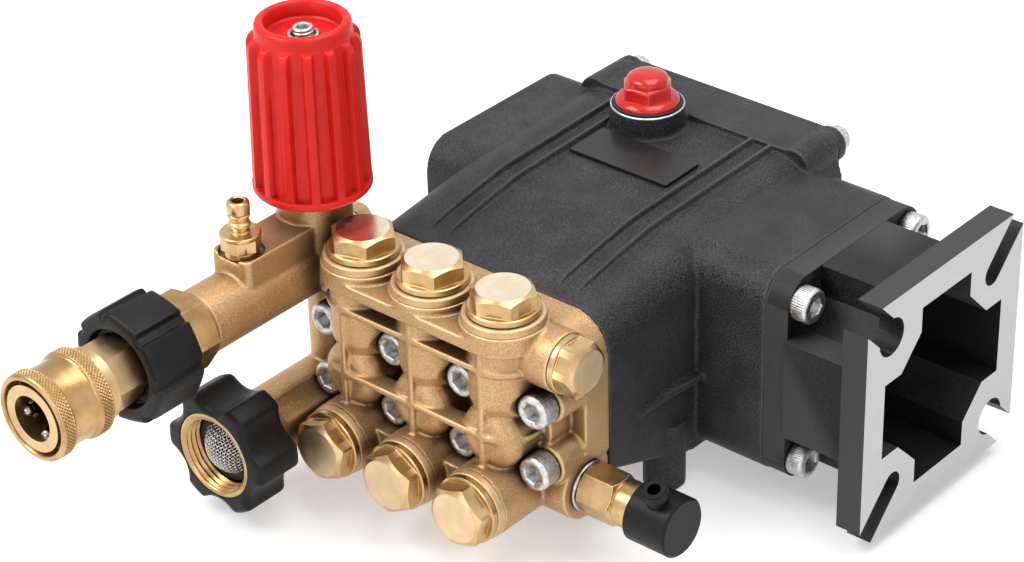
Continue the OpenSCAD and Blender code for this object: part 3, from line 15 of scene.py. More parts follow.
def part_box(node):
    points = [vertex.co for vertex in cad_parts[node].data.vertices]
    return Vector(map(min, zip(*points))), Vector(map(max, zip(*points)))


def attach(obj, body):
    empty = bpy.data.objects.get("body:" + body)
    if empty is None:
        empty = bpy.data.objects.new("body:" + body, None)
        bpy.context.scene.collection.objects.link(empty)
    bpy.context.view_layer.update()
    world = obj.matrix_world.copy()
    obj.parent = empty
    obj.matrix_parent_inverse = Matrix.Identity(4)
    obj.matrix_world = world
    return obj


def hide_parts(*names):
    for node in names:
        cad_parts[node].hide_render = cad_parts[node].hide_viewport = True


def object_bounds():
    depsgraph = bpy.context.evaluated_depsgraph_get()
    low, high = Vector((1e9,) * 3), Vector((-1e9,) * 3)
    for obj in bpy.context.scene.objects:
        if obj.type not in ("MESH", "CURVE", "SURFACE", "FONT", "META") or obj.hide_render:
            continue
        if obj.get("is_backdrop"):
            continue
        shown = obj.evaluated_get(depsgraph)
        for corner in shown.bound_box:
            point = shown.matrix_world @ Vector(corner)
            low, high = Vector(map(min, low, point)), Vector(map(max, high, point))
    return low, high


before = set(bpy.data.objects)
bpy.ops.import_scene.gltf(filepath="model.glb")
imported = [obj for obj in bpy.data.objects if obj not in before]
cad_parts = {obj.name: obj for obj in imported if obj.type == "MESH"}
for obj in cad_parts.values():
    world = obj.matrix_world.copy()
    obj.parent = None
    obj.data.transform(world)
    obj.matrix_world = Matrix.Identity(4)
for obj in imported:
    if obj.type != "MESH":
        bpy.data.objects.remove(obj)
CAD_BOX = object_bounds()

LOG = logging.getLogger("pump")
MM = 0.001
WELD = 0.002 * MM
CHAMFER = 0.577  # slope of a 30 degree chamfer

Socket = bpy.types.NodeSocket
Material = bpy.types.Material
Piece = bpy.types.Object
Colour = Tuple[float, float, float]
Profile = Callable[[np.ndarray], np.ndarray]
Measure = Union[float, Profile]
Ring = Tuple[Measure, Measure]  # height along Z and radius in mm, each fixed or by angle
Point = Tuple[float, float, float]
Tone = Union[Colour, Socket]

# Places shared by several sub-assemblies, in mm
MID_X = -133.5
SIDE_X = -193.0
UNLOADER_Y = -110.0
PITCH = 32.0
VALVE_X = (MID_X - PITCH, MID_X, MID_X + PITCH)


class Axis(Enum):
    """The way a turned piece points, as the turn that takes +Z there."""

    UP = ("X", 0.0)
    FRONT = ("X", math.pi / 2)
    REAR = ("X", -math.pi / 2)
    RIGHT = ("Y", math.pi / 2)


class Body(Enum):
    """Moving groups of the frame that the pieces ride on."""

    PUMP = "pump"
    KNOB = "knob"
    HANDWHEEL = "handwheel"
    HOSE_NUT = "hose_nut"
    SLEEVE = "sleeve"


# ---------------------------------------------------------------- finishes


def seen_rays(tree: bpy.types.NodeTree) -> Socket:
    """A value of 1 for rays from the eye, off metal and through glass.

    Args:
        tree: The node tree to add it to.

    Returns:
        The value's socket.
    """
    path = tree.nodes.new("ShaderNodeLightPath")
    total = path.outputs["Is Camera Ray"]
    for name in ("Is Glossy Ray", "Is Transmission Ray"):
        most = tree.nodes.new("ShaderNodeMath")
        most.operation = "MAXIMUM"
        tree.links.new(total, most.inputs[0])
        tree.links.new(path.outputs[name], most.inputs[1])
        total = most.outputs[0]
    return total


class Graph:
    """A material's node tree, wired by short calls."""

    def __init__(self, name: str) -> None:
        """Starts a material.

        Args:
            name: The material's name.
        """
        self.mat = bpy.data.materials.new(name)
        self.mat.use_nodes = True
        self.tree = self.mat.node_tree
        self.shader = self.tree.nodes["Principled BSDF"]
        self.coords = self.tree.nodes.new("ShaderNodeTexCoord").outputs["Object"]

    def node(self, kind: str, values: Optional[Dict[Any, Any]] = None, **settings: Any) -> bpy.types.Node:
        """Adds a node.

        Args:
            kind: The node's type name.
            values: Input socket name or index to its value or to a socket that feeds it.
            settings: Properties of the node itself.

        Returns:
            The new node.
        """
        made = self.tree.nodes.new(kind)
        for key, value in settings.items():
            setattr(made, key, value)
        for key, value in (values or {}).items():
            if isinstance(value, Socket):
                self.tree.links.new(value, made.inputs[key])
            else:
                made.inputs[key].default_value = value
        return made

    def noise(self, size_mm: float, detail: float = 2.0, stretch: Point = (1, 1, 1)) -> Socket:
        """Cloudy value between 0 and 1.

        Args:
            size_mm: Size of the grains.
            detail: Number of finer layers.
            stretch: How many times closer the grains lie along each axis.

        Returns:
            The value's socket.
        """
        place = self.node("ShaderNodeMapping", {"Vector": self.coords, "Scale": stretch})
        grain = self.node("ShaderNodeTexNoise", {"Vector": place.outputs[0], "Scale": 1 / (size_mm * MM),
                                                 "Detail": detail, "Roughness": 0.55})
        return grain.outputs["Fac"]

    def rings(self, pitch_mm: float) -> Socket:
        """Fine lathe rings about the piece's own Z axis.

        Args:
            pitch_mm: Distance between two rings.

        Returns:
            The value's socket.
        """
        split = self.node("ShaderNodeSeparateXYZ", {0: self.coords})
        flat = self.node("ShaderNodeCombineXYZ", {0: split.outputs[0], 1: split.outputs[1]})
        reach = self.node("ShaderNodeVectorMath", {0: flat.outputs[0]}, operation="LENGTH")
        height = split.outputs[2]
        along = self.node("ShaderNodeMath", {0: height, 1: reach.outputs["Value"]}, operation="ADD")
        turns = self.node("ShaderNodeMath", {0: along.outputs[0], 1: 2 * math.pi / (pitch_mm * MM)},
                          operation="MULTIPLY")
        wave = self.node("ShaderNodeMath", {0: turns.outputs[0]}, operation="SINE")
        return self.node("ShaderNodeMapRange", {0: wave.outputs[0], 1: -1.0, 2: 1.0}).outputs[0]

    def spread(self, value: Socket, low: float, high: float, start: float = 0.35,
               end: float = 0.65) -> Socket:
        """Maps a value's middle band to low..high and keeps it inside.

        Args:
            value: The value to map.
            low: Result at start.
            high: Result at end.
            start: Where the band begins.
            end: Where the band ends.

        Returns:
            The mapped value's socket.
        """
        return self.node("ShaderNodeMapRange", {0: value, 1: start, 2: end, 3: low, 4: high}).outputs[0]

    def mix(self, share: Socket, first: Tone, second: Tone) -> Socket:
        """Mixes two colours.

        Args:
            share: 0 gives the first colour and 1 the second.
            first: Colour or socket.
            second: Colour or socket.

        Returns:
            The mixed colour's socket.
        """
        ends = [end if isinstance(end, Socket) else (*end, 1.0) for end in (first, second)]
        return self.node("ShaderNodeMix", {0: share, 6: ends[0], 7: ends[1]}, data_type="RGBA").outputs[2]

    def shadow(self, tone: Tone, deep: Colour, reach_mm: float, most: float, start: float,
               end: float) -> Socket:
        """Paints shade into corners and holes, darker where walls close in round a point.

        Args:
            tone: Colour in the open.
            deep: Colour of the deepest corner.
            reach_mm: How far away a wall still counts.
            most: Greatest share of the deep colour.
            start: Openness at which that share is reached.
            end: Openness from which the tone is plain.

        Returns:
            The colour's socket.
        """
        nearby = self.node("ShaderNodeAmbientOcclusion", {"Distance": reach_mm * MM}, samples=6)
        return self.mix(self.spread(nearby.outputs["AO"], most, 0.0, start, end), tone, deep)

    def bump(self, height: Socket, depth_mm: float, under: Optional[Socket] = None) -> Socket:
        """Relief of the surface.

        Args:
            height: Value that stands for the height.
            depth_mm: Height of a full step.
            under: Normal from an earlier relief.

        Returns:
            The normal's socket.
        """
        values = {"Height": height, "Distance": depth_mm * MM, "Strength": 1.0}
        if under is not None:
            values["Normal"] = under
        return self.node("ShaderNodeBump", values).outputs[0]

    def finish(self, **sockets: Any) -> Material:
        """Sets the shader's sockets.

        Args:
            sockets: Socket name, with _ for a space, to its value or source.

        Returns:
            The material.
        """
        for key, value in sockets.items():
            target = self.shader.inputs[key.replace("_", " ")]
            if isinstance(value, Socket):
                self.tree.links.new(value, target)
            else:
                target.default_value = value
        return self.mat


def dimmed(colour: Colour, share: float) -> Colour:
    """A colour at a share of its strength."""
    return (share * colour[0], share * colour[1], share * colour[2])


_SHELF: Dict["Finish", Material] = {}


@dataclass(frozen=True)
class Finish:
    """A named surface finish and the record's slot that it stands for."""

    name: str
    slot: str

    def wire(self, graph: Graph) -> Material:
        """Wires the finish; each kind has its own."""
        raise NotImplementedError

    def material(self) -> Material:
        """The material, made once."""
        if self not in _SHELF:
            _SHELF[self] = self.wire(Graph(self.name))
        return _SHELF[self]


@dataclass(frozen=True)
class CastFinish(Finish):
    """Grainy casting: blasted metal or powder coat, paler on its worn edges, with painted shade in its
    corners.
    """

    dark: Colour
    light: Colour
    edge: Colour
    metallic: float
    rough: Tuple[float, float]
    grain_mm: float
    grain_depth: float
    wear: float = 0.5
    # share of painted shade in the deepest corners and hollows
    corner_shade: float = 0.5
    specular: float = 0.5

    def wire(self, graph: Graph) -> Material:
        """Wires grain, clouding, edge wear and painted shade in the corners.

        Args:
            graph: The node tree to fill.

        Returns:
            The material.
        """
        grain = graph.noise(self.grain_mm, 2.0)
        cloud = graph.noise(14.0, 3.0)
        speckle = graph.mix(graph.spread(grain, 0.0, 1.0, 0.4, 0.66), self.dark, self.light)
        toned = graph.mix(graph.spread(cloud, 0.0, 0.45), speckle, self.dark)
        lift = graph.node("ShaderNodeNewGeometry").outputs["Pointiness"]
        worn = graph.mix(graph.spread(lift, 0.0, self.wear, 0.515, 0.56), toned, self.edge)
        # painted shade: corners and hollows darken towards a dim copy of the dark tone
        shaded = graph.shadow(worn, dimmed(self.dark, 0.3), 11.0, self.corner_shade, 0.3, 0.85)
        relief = graph.bump(grain, self.grain_depth)
        relief = graph.bump(graph.noise(5.0, 2.0), self.grain_depth * 1.5, relief)
        return graph.finish(Base_Color=shaded, Metallic=self.metallic, Normal=relief,
                            Specular_IOR_Level=self.specular,
                            Roughness=graph.spread(grain, self.rough[0], self.rough[1]))


@dataclass(frozen=True)
class TurnedFinish(Finish):
    """Machined metal with fine lathe rings about the piece's own axis and painted shade in its hollows."""

    dark: Colour
    light: Colour
    rough: Tuple[float, float]
    ring_mm: float = 0.35
    ring_depth: float = 0.004
    metallic: float = 1.0
    # how far off a wall still casts painted shade into a hollow, in mm
    reach: float = 3.0

    def wire(self, graph: Graph) -> Material:
        """Wires rings, smears, a slight tarnish and painted shade in the hollows.

        Args:
            graph: The node tree to fill.

        Returns:
            The material.
        """
        tone = graph.mix(graph.spread(graph.noise(9.0, 3.0), 0.0, 0.8), self.light, self.dark)
        # painted shade: holes and corners darken towards a dim copy of the dark tone
        tone = graph.shadow(tone, dimmed(self.dark, 0.2), self.reach, 0.75, 0.1, 0.6)
        relief = graph.bump(graph.rings(self.ring_mm), self.ring_depth)
        relief = graph.bump(graph.noise(0.5, 2.0), self.ring_depth, relief)
        smear = graph.spread(graph.noise(6.0, 2.0), self.rough[0], self.rough[1])
        return graph.finish(Base_Color=tone, Metallic=self.metallic, Roughness=smear, Normal=relief)


@dataclass(frozen=True)
class PlatedFinish(Finish):
    """Plated or ground steel, mottled at a small scale, with painted shade in holes and corners."""

    dark: Colour
    light: Colour
    rough: Tuple[float, float]
    mottle_mm: float = 1.2
    metallic: float = 1.0
    # share of painted shade in sockets, holes and corners
    corner_shade: float = 0.9

    def wire(self, graph: Graph) -> Material:
        """Wires the mottle and painted shade in holes and corners.

        Args:
            graph: The node tree to fill.

        Returns:
            The material.
        """
        mottle = graph.noise(self.mottle_mm, 3.0)
        tone = graph.mix(graph.spread(mottle, 0.0, 1.0), self.dark, self.light)
        # painted shade: sockets and corners darken nearly to black
        tone = graph.shadow(tone, dimmed(self.dark, 0.07), 5.0, self.corner_shade, 0.35, 0.85)
        relief = graph.bump(graph.noise(0.4, 2.0), 0.006)
        return graph.finish(Base_Color=tone, Metallic=self.metallic, Normal=relief,
                            Roughness=graph.spread(mottle, self.rough[0], self.rough[1]))


@dataclass(frozen=True)
class MilledFinish(Finish):
    """Milled face with long parallel cutter marks along Y."""

    dark: Colour
    light: Colour

    def wire(self, graph: Graph) -> Material:
        """Wires the cutter marks.

        Args:
            graph: The node tree to fill.

        Returns:
            The material.
        """
        marks = graph.noise(0.9, 3.0, (1, 0.06, 1))
        tone = graph.mix(graph.spread(marks, 0.0, 1.0), self.dark, self.light)
        relief = graph.bump(marks, 0.002)
        return graph.finish(Base_Color=tone, Metallic=0.5, Normal=relief,
                            Roughness=graph.spread(marks, 0.5, 0.58))


@dataclass(frozen=True)
class MouldedFinish(Finish):
    """Moulded plastic, rubber or ceramic with an orange-peel skin."""

    colour: Colour
    rough: Tuple[float, float]
    peel_mm: float = 1.5
    peel_depth: float = 0.01
    coat: float = 0.0
    lift: float = 1.25
    transmission: float = 0.0
    specular: float = 0.5
    # share of painted shade in recesses and between ribs, 0 for none
    shade: float = 0.0

    def wire(self, graph: Graph) -> Material:
        """Wires tone, skin and painted shade in recesses.

        Args:
            graph: The node tree to fill.

        Returns:
            The material.
        """
        pale = tuple(min(1.0, c * self.lift) for c in self.colour)
        tone = graph.mix(graph.spread(graph.noise(self.peel_mm * 4, 3.0), 0.0, 1.0), self.colour, pale)
        # painted shade: recesses darken towards a dim copy of the colour
        if self.shade:
            tone = graph.shadow(tone, dimmed(self.colour, 0.2), 14.0, self.shade, 0.2, 0.6)
        peel = graph.noise(self.peel_mm, 2.0)
        return graph.finish(Base_Color=tone, Normal=graph.bump(peel, self.peel_depth),
                            Roughness=graph.spread(peel, self.rough[0], self.rough[1]),
                            Coat_Weight=self.coat, Coat_Roughness=0.12, Specular_IOR_Level=self.specular,
                            Transmission_Weight=self.transmission)


# The corner and recess shares given below set how much painted shade each finish gets.
POWDER_COAT = CastFinish("powder_coat", "case_black", dark=(0.004, 0.004, 0.0045),
                         light=(0.085, 0.085, 0.088), edge=(0.1, 0.1, 0.103), metallic=0.0,
                         rough=(0.38, 0.64), grain_mm=0.5, grain_depth=0.16, wear=0.6, corner_shade=0.6,
                         specular=0.27)
SMOOTH_COAT = CastFinish("smooth_coat", "case_black", dark=(0.004, 0.004, 0.0045),
                         light=(0.026, 0.026, 0.028), edge=(0.07, 0.07, 0.073), metallic=0.0,
                         rough=(0.42, 0.58), grain_mm=0.6, grain_depth=0.08, wear=0.6, corner_shade=0.6,
                         specular=0.24)
CAST_BRASS = CastFinish("blasted_brass", "cast_brass", dark=(0.42, 0.255, 0.115),
                        light=(0.72, 0.475, 0.245), edge=(0.87, 0.64, 0.38), metallic=0.75,
                        rough=(0.38, 0.54), grain_mm=0.5, grain_depth=0.05, wear=0.65, corner_shade=1.0)
ROD_METAL = CastFinish("rod_casting", "rod_aluminium", dark=(0.42, 0.43, 0.44), light=(0.6, 0.61, 0.62),
                       edge=(0.72, 0.73, 0.74), metallic=0.8, rough=(0.4, 0.55), grain_mm=0.8,
                       grain_depth=0.03)
BRIGHT_BRASS = TurnedFinish("turned_brass", "bright_brass", (0.46, 0.29, 0.125), (0.66, 0.46, 0.24),
                            (0.26, 0.34))
# pale copy of the turned brass for faced ends that look up to the lamps: a painted highlight
LIT_FACE_BRASS = TurnedFinish("lit_face_brass", "bright_brass", (0.84, 0.68, 0.48), (0.95, 0.82, 0.63),
                           (0.2, 0.28))
# half-lit copy of the face brass for faced ends that look forward or aside: a weaker painted highlight,
# rougher
HALF_LIT_FACE_BRASS = TurnedFinish("half_lit_face_brass", "bright_brass", (0.6, 0.42, 0.23), (0.74, 0.56, 0.35), (0.34, 0.42))
SATIN_BRASS = TurnedFinish("satin_brass", "bright_brass", (0.36, 0.21, 0.08), (0.56, 0.37, 0.17),
                           (0.24, 0.34), ring_mm=0.25, ring_depth=0.006)
# its long reach paints shade deep into the coupler's bore
CORE_BRASS = TurnedFinish("core_brass", "bright_brass", (0.5, 0.32, 0.15), (0.66, 0.46, 0.25),
                          (0.28, 0.36), ring_mm=0.25, ring_depth=0.006, reach=18.0)
SHAFT_STEEL = TurnedFinish("turned_steel", "shaft_steel", (0.34, 0.35, 0.37), (0.46, 0.47, 0.49),
                           (0.25, 0.38))
VALVE_STEEL = TurnedFinish("valve_steel", "valve_steel", (0.45, 0.45, 0.47), (0.6, 0.6, 0.62), (0.22, 0.34))
ZINC = PlatedFinish("zinc_plate", "zinc_screws", (0.42, 0.43, 0.44), (0.7, 0.7, 0.71), (0.32, 0.44))
BALL_STEEL = PlatedFinish("ball_steel", "bearing_steel", (0.3, 0.3, 0.32), (0.42, 0.42, 0.44), (0.08, 0.14))
WIRE = PlatedFinish("filter_wire", "filter_mesh", (0.5, 0.49, 0.47), (0.8, 0.79, 0.77), (0.26, 0.36),
                    mottle_mm=0.6, corner_shade=0.15)
MILLED = MilledFinish("milled_aluminium", "case_black", (0.56, 0.56, 0.565), (0.6, 0.6, 0.605))
RED_SATIN = MouldedFinish("red_satin", "red_plastic", (0.66, 0.014, 0.009), (0.32, 0.42), peel_mm=1.6,
                          peel_depth=0.008, lift=1.15, specular=0.28, shade=0.9)
RED_GLOSS = MouldedFinish("red_gloss", "red_plastic", (0.57, 0.012, 0.008), (0.12, 0.18), peel_mm=2.5,
                          peel_depth=0.006, coat=0.1, lift=1.1, specular=0.4, shade=0.5)
BLACK_MOULDED = MouldedFinish("black_moulded", "black_plastic", (0.006, 0.006, 0.007), (0.36, 0.48),
                              peel_mm=0.8, peel_depth=0.018, lift=1.4, specular=0.2, shade=0.6)
PLATE_BLACK = MouldedFinish("plate_black", "nameplate", (0.012, 0.012, 0.013), (0.3, 0.38), peel_mm=3.0,
                            peel_depth=0.004, coat=0.1, lift=1.2, specular=0.3)
RUBBER = MouldedFinish("seal_rubber", "seal_rubber", (0.01, 0.01, 0.011), (0.6, 0.75), peel_mm=0.6,
                       peel_depth=0.012)
GASKET = MouldedFinish("gasket_sheet", "gasket", (0.05, 0.055, 0.055), (0.7, 0.85), peel_mm=0.5,
                       peel_depth=0.02)
CERAMIC = MouldedFinish("glazed_ceramic", "ceramic", (0.8, 0.78, 0.72), (0.1, 0.16), peel_mm=3.0,
                        peel_depth=0.003, coat=0.6, lift=1.05)
WINDOW = MouldedFinish("oil_window", "sight_glass", (0.72, 0.6, 0.3), (0.06, 0.1), peel_mm=4.0,
                       peel_depth=0.002, coat=0.6, lift=1.1, transmission=0.7)


# ---------------------------------------------------------------- mesh tools


def cleaned(mesh: bpy.types.Mesh, weld: bool = False, outward: bool = False) -> None:
    """Tidies a mesh in place.

    Args:
        mesh: The mesh.
        weld: True to join points that lie together.
        outward: True to turn every face outwards.
    """
    tool = bmesh.new()
    tool.from_mesh(mesh)
    if weld:
        bmesh.ops.remove_doubles(tool, verts=tool.verts, dist=WELD)
    if outward:
        bmesh.ops.recalc_face_normals(tool, faces=tool.faces)
    tool.to_mesh(mesh)
    tool.free()


def mesh_object(name: str, points: np.ndarray, faces: Sequence[Sequence[int]]) -> Piece:
    """Makes a smooth shaded object from points in mm.

    Args:
        name: Name of the piece.
        points: One row per point.
        faces: Point numbers of each face.

    Returns:
        The object, linked to the scene.
    """
    mesh = bpy.data.meshes.new(name)
    mesh.from_pydata((np.asarray(points, float) * MM).tolist(), [], [list(map(int, f)) for f in faces])
    cleaned(mesh, outward=True)
    return linked(name, mesh)


def linked(name: str, mesh: bpy.types.Mesh) -> Piece:
    """Puts a mesh in the scene.

    Args:
        name: Name of the piece.
        mesh: Its mesh.

    Returns:
        The new object.
    """
    mesh.shade_smooth()
    made = bpy.data.objects.new(name, mesh)
    bpy.context.scene.collection.objects.link(made)
    return made


def ring_points(ring: Ring, angles: np.ndarray) -> np.ndarray:
    """The points of one ring.

    Args:
        ring: The ring's height and radius.
        angles: Angles round the axis, in radians.

    Returns:
        One row per angle.
    """
    z, r = (value(angles) if callable(value) else np.full(angles.shape, float(value)) for value in ring)
    return np.stack([r * np.cos(angles), r * np.sin(angles), z], 1)


def turned(name: str, rings: Sequence[Ring], count: int = 96, loop: bool = False) -> Piece:
    """Lofts rings into one closed skin about Z.

    Args:
        name: Name of the piece.
        rings: The rings in order along the profile.
        count: Points in a ring.
        loop: True where the last ring joins the first, as on a hollow piece; else both ends are closed.

    Returns:
        The new object.
    """
    angles = np.arange(count) * 2 * math.pi / count
    points = [ring_points(ring, angles) for ring in rings]
    faces: List[List[int]] = []
    spans = len(rings) if loop else len(rings) - 1
    for k in range(spans):
        a, b = k * count, ((k + 1) % len(rings)) * count
        faces += [[a + i, a + (i + 1) % count, b + (i + 1) % count, b + i] for i in range(count)]
    stacked = np.concatenate(points)
    if not loop:
        for start, ring in ((0, points[0]), ((len(rings) - 1) * count, points[-1])):
            centre = len(stacked)
            stacked = np.vstack([stacked, ring.mean(0)])
            faces += [[centre, start + i, start + (i + 1) % count] for i in range(count)]
    made = mesh_object(name, stacked, faces)
    cleaned(made.data, weld=True, outward=True)
    return made


def softened(piece: Piece, width_mm: float = 0.25, angle: float = 28.0, steps: int = 2) -> Piece:
    """Rounds the sharp edges a little, as a tumbled or moulded edge is.

    Args:
        piece: The object.
        width_mm: Width of the rounding.
        angle: Edges sharper than this many degrees are rounded.
        steps: Facets across the rounding.

    Returns:
        The same object.
    """
    bevel = piece.modifiers.new("edges", "BEVEL")
    bevel.width = width_mm * MM
    bevel.segments = steps
    bevel.limit_method = "ANGLE"
    bevel.angle_limit = math.radians(angle)
    bevel.harden_normals = True
    bevel.use_clamp_overlap = True
    return piece


def settled(piece: Piece) -> Piece:
    """Applies a piece's modifiers to its mesh.

    Args:
        piece: The object.

    Returns:
        The same object with a plain mesh.
    """
    graph = bpy.context.evaluated_depsgraph_get()
    mesh = bpy.data.meshes.new_from_object(piece.evaluated_get(graph), depsgraph=graph)
    piece.modifiers.clear()
    old, piece.data = piece.data, mesh
    bpy.data.meshes.remove(old)
    return piece


def copied(node: str, name: str) -> Piece:
    """A cleaned copy of a frame node's mesh.

    Args:
        node: The frame's node.
        name: Name of the new piece.

    Returns:
        The new object.
    """
    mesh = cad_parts[node].data.copy()
    mesh.materials.clear()
    cleaned(mesh, weld=True)
    if "custom_normal" in mesh.attributes:
        mesh.attributes.remove(mesh.attributes["custom_normal"])
    return linked(name, mesh)


def cast_skin(node: str, name: str, voxel_mm: float, passes: int) -> Piece:
    """A copy of a node with the soft edges and filled corners of a casting.

    Args:
        node: The frame's node.
        name: Name of the new piece.
        voxel_mm: Size of the new facets.
        passes: Times that the skin is evened.

    Returns:
        The new object.
    """
    piece = copied(node, name)
    remesh = piece.modifiers.new("skin", "REMESH")
    remesh.mode = "VOXEL"
    remesh.voxel_size = voxel_mm * MM
    remesh.adaptivity = 0.0
    remesh.use_smooth_shade = True
    even = piece.modifiers.new("even", "SMOOTH")
    even.factor = 0.5
    even.iterations = passes
    settled(piece)
    piece.data.shade_smooth()
    return piece


def faced(piece: Piece, body: Finish, face: Finish, axis: int, depth_mm: float, lean: float) -> None:
    """Gives the flat end of a piece a finish of its own.

    Args:
        piece: The object.
        body: Finish of the rest of it.
        face: Finish of its end.
        axis: 0 where the end looks along +X and 2 where it looks along +Z.
        depth_mm: How far below the end a facet still belongs to it.
        lean: Least part of a facet's normal that points along the axis.
    """
    piece.data.materials.append(body.material())
    piece.data.materials.append(face.material())
    crest = max(point.co[axis] for point in piece.data.vertices) - depth_mm * MM
    for facet in piece.data.polygons:
        if facet.center[axis] > crest and facet.normal[axis] > lean:
            facet.material_index = 1


def placed(piece: Piece, at: Point, axis: Axis = Axis.UP, spin: float = 0.0) -> Piece:
    """Sets a piece in the frame.

    Args:
        piece: The object, made about its own Z axis.
        at: Where its origin goes, in mm.
        axis: The way its Z axis points.
        spin: Turn about its own axis, in degrees.

    Returns:
        The same object.
    """
    letter, angle = axis.value
    stand = Matrix.Translation(Vector(at) * MM) @ Matrix.Rotation(angle, 4, letter)
    piece.matrix_world = stand @ Matrix.Rotation(math.radians(spin), 4, "Z")
    return piece


def dressed(piece: Piece, finish: Finish, body: Body, *nodes: str) -> Piece:
    """Gives a piece its finish and its body, and hides the frame nodes that it replaces.

    Args:
        piece: The object.
        finish: Its finish.
        body: The group that it moves with.
        nodes: Frame nodes that it replaces.

    Returns:
        The same object.
    """
    if not piece.data.materials:
        piece.data.materials.append(finish.material())
    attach(piece, body.value)
    if nodes:
        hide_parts(*nodes)
    LOG.info("piece %s in %s", piece.name, finish.name)
    return piece


def kept_shape(node: str, name: str, finish: Finish, width_mm: float, angle: float = 28.0,
               steps: int = 2) -> None:
    """Dresses a frame node that keeps its shape but for softer edges.

    Args:
        node: The frame's node.
        name: Name of the piece that stands for it.
        finish: Its finish.
        width_mm: Width of the edges' rounding.
        angle: Edges sharper than this many degrees are rounded.
        steps: Facets across the rounding.
    """
    dressed(softened(copied(node, name), width_mm, angle, steps), finish, Body.PUMP, node)


def merged(name: str, parts: Sequence[Piece]) -> Piece:
    """Joins pieces of one kind into one object in the frame's own coordinates.

    Args:
        name: Name of the joined piece.
        parts: The objects, which are used up.

    Returns:
        The joined object.
    """
    bpy.context.view_layer.update()
    tool = bmesh.new()
    for part in parts:
        settled(part)
        part.data.transform(part.matrix_world)
        tool.from_mesh(part.data)
        bpy.data.objects.remove(part)
    mesh = bpy.data.meshes.new(name)
    tool.to_mesh(mesh)
    tool.free()
    return linked(name, mesh)


# ---------------------------------------------------------------- sections by angle


def hexagon(flats: float, phase: float = 0.0) -> Profile:
    """Radius of a hexagon by angle.

    Args:
        flats: Distance across the flats.
        phase: Angle of a corner, in degrees.

    Returns:
        Radius as a function of the angle.
    """
    def radius(angles: np.ndarray) -> np.ndarray:
        """Radius at each angle."""
        off = (angles - math.radians(phase)) % (math.pi / 3) - math.pi / 6
        return flats / 2 / np.cos(off)
    return radius


def chamfered(flats: float, top: float, start: float, phase: float = 0.0, slope: float = 30.0) -> Profile:
    """Height of a hexagon's side where a turned chamfer cuts it.

    Args:
        flats: Distance across the flats.
        top: Height of the flat top.
        start: Radius where the chamfer starts.
        phase: Angle of a corner, in degrees.
        slope: Slope of the chamfer, in degrees.

    Returns:
        Height as a function of the angle.
    """
    outline = hexagon(flats, phase)
    return lambda angles: top - np.maximum(outline(angles) - start, 0.0) * math.tan(math.radians(slope))


def saw(value: np.ndarray) -> np.ndarray:
    """Triangle wave between 0 and 1 with period 1."""
    return 1 - np.abs(2 * (value % 1.0) - 1)


def knurl_ring(height: float, radius: float, teeth: int, rise: float, depth: float) -> Ring:
    """One ring through a diamond knurl.

    Args:
        height: Height of the ring.
        radius: Radius of the diamonds' tips.
        teeth: Diamonds round the piece.
        rise: Height of one diamond.
        depth: Depth of the grooves.

    Returns:
        The ring.
    """
    def shape(angles: np.ndarray) -> np.ndarray:
        """Radius at each angle."""
        turn = angles * teeth / (2 * math.pi)
        tip = np.minimum(saw(turn + height / rise), saw(turn - height / rise))
        return radius - depth + depth * np.minimum(1.0, 1.5 * tip)
    return (height, shape)


def thread_rings(start: float, end: float, radius: float, pitch: float, depth: float,
                 steps: int = 6) -> List[Ring]:
    """Rings through a screw thread.

    Args:
        start: Height where the thread starts.
        end: Height where it ends.
        radius: Radius at the crests of an outer thread, or the roots of an inner one.
        pitch: Rise of one turn.
        depth: Depth of the thread.
        steps: Rings in one turn.

    Returns:
        The rings from start to end.
    """
    total = max(2, int(round(abs(end - start) / pitch * steps)))
    rings = []
    for height in np.linspace(start, end, total + 1):
        def shape(angles: np.ndarray, level: float = float(height)) -> np.ndarray:
            """Radius at each angle."""
            return radius - depth + depth * saw(level / pitch - angles / (2 * math.pi))
        rings.append((float(height), shape))
    return rings


def rounded_rim(height: float, radius: float, size: float, steps: int = 4) -> List[Ring]:
    """Rings over the rounded rim at the top of a wall, from the wall inwards.

    Args:
        height: Height of the top.
        radius: Radius of the wall.
        size: Radius of the rounding.
        steps: Facets across the rounding.

    Returns:
        The rings in that order.
    """
    turns = np.linspace(0, math.pi / 2, steps + 1)[::-1]
    return [(height - size * (1 - math.cos(t)), radius - size * (1 - math.sin(t))) for t in turns]


# ---------------------------------------------------------------- sub-assemblies


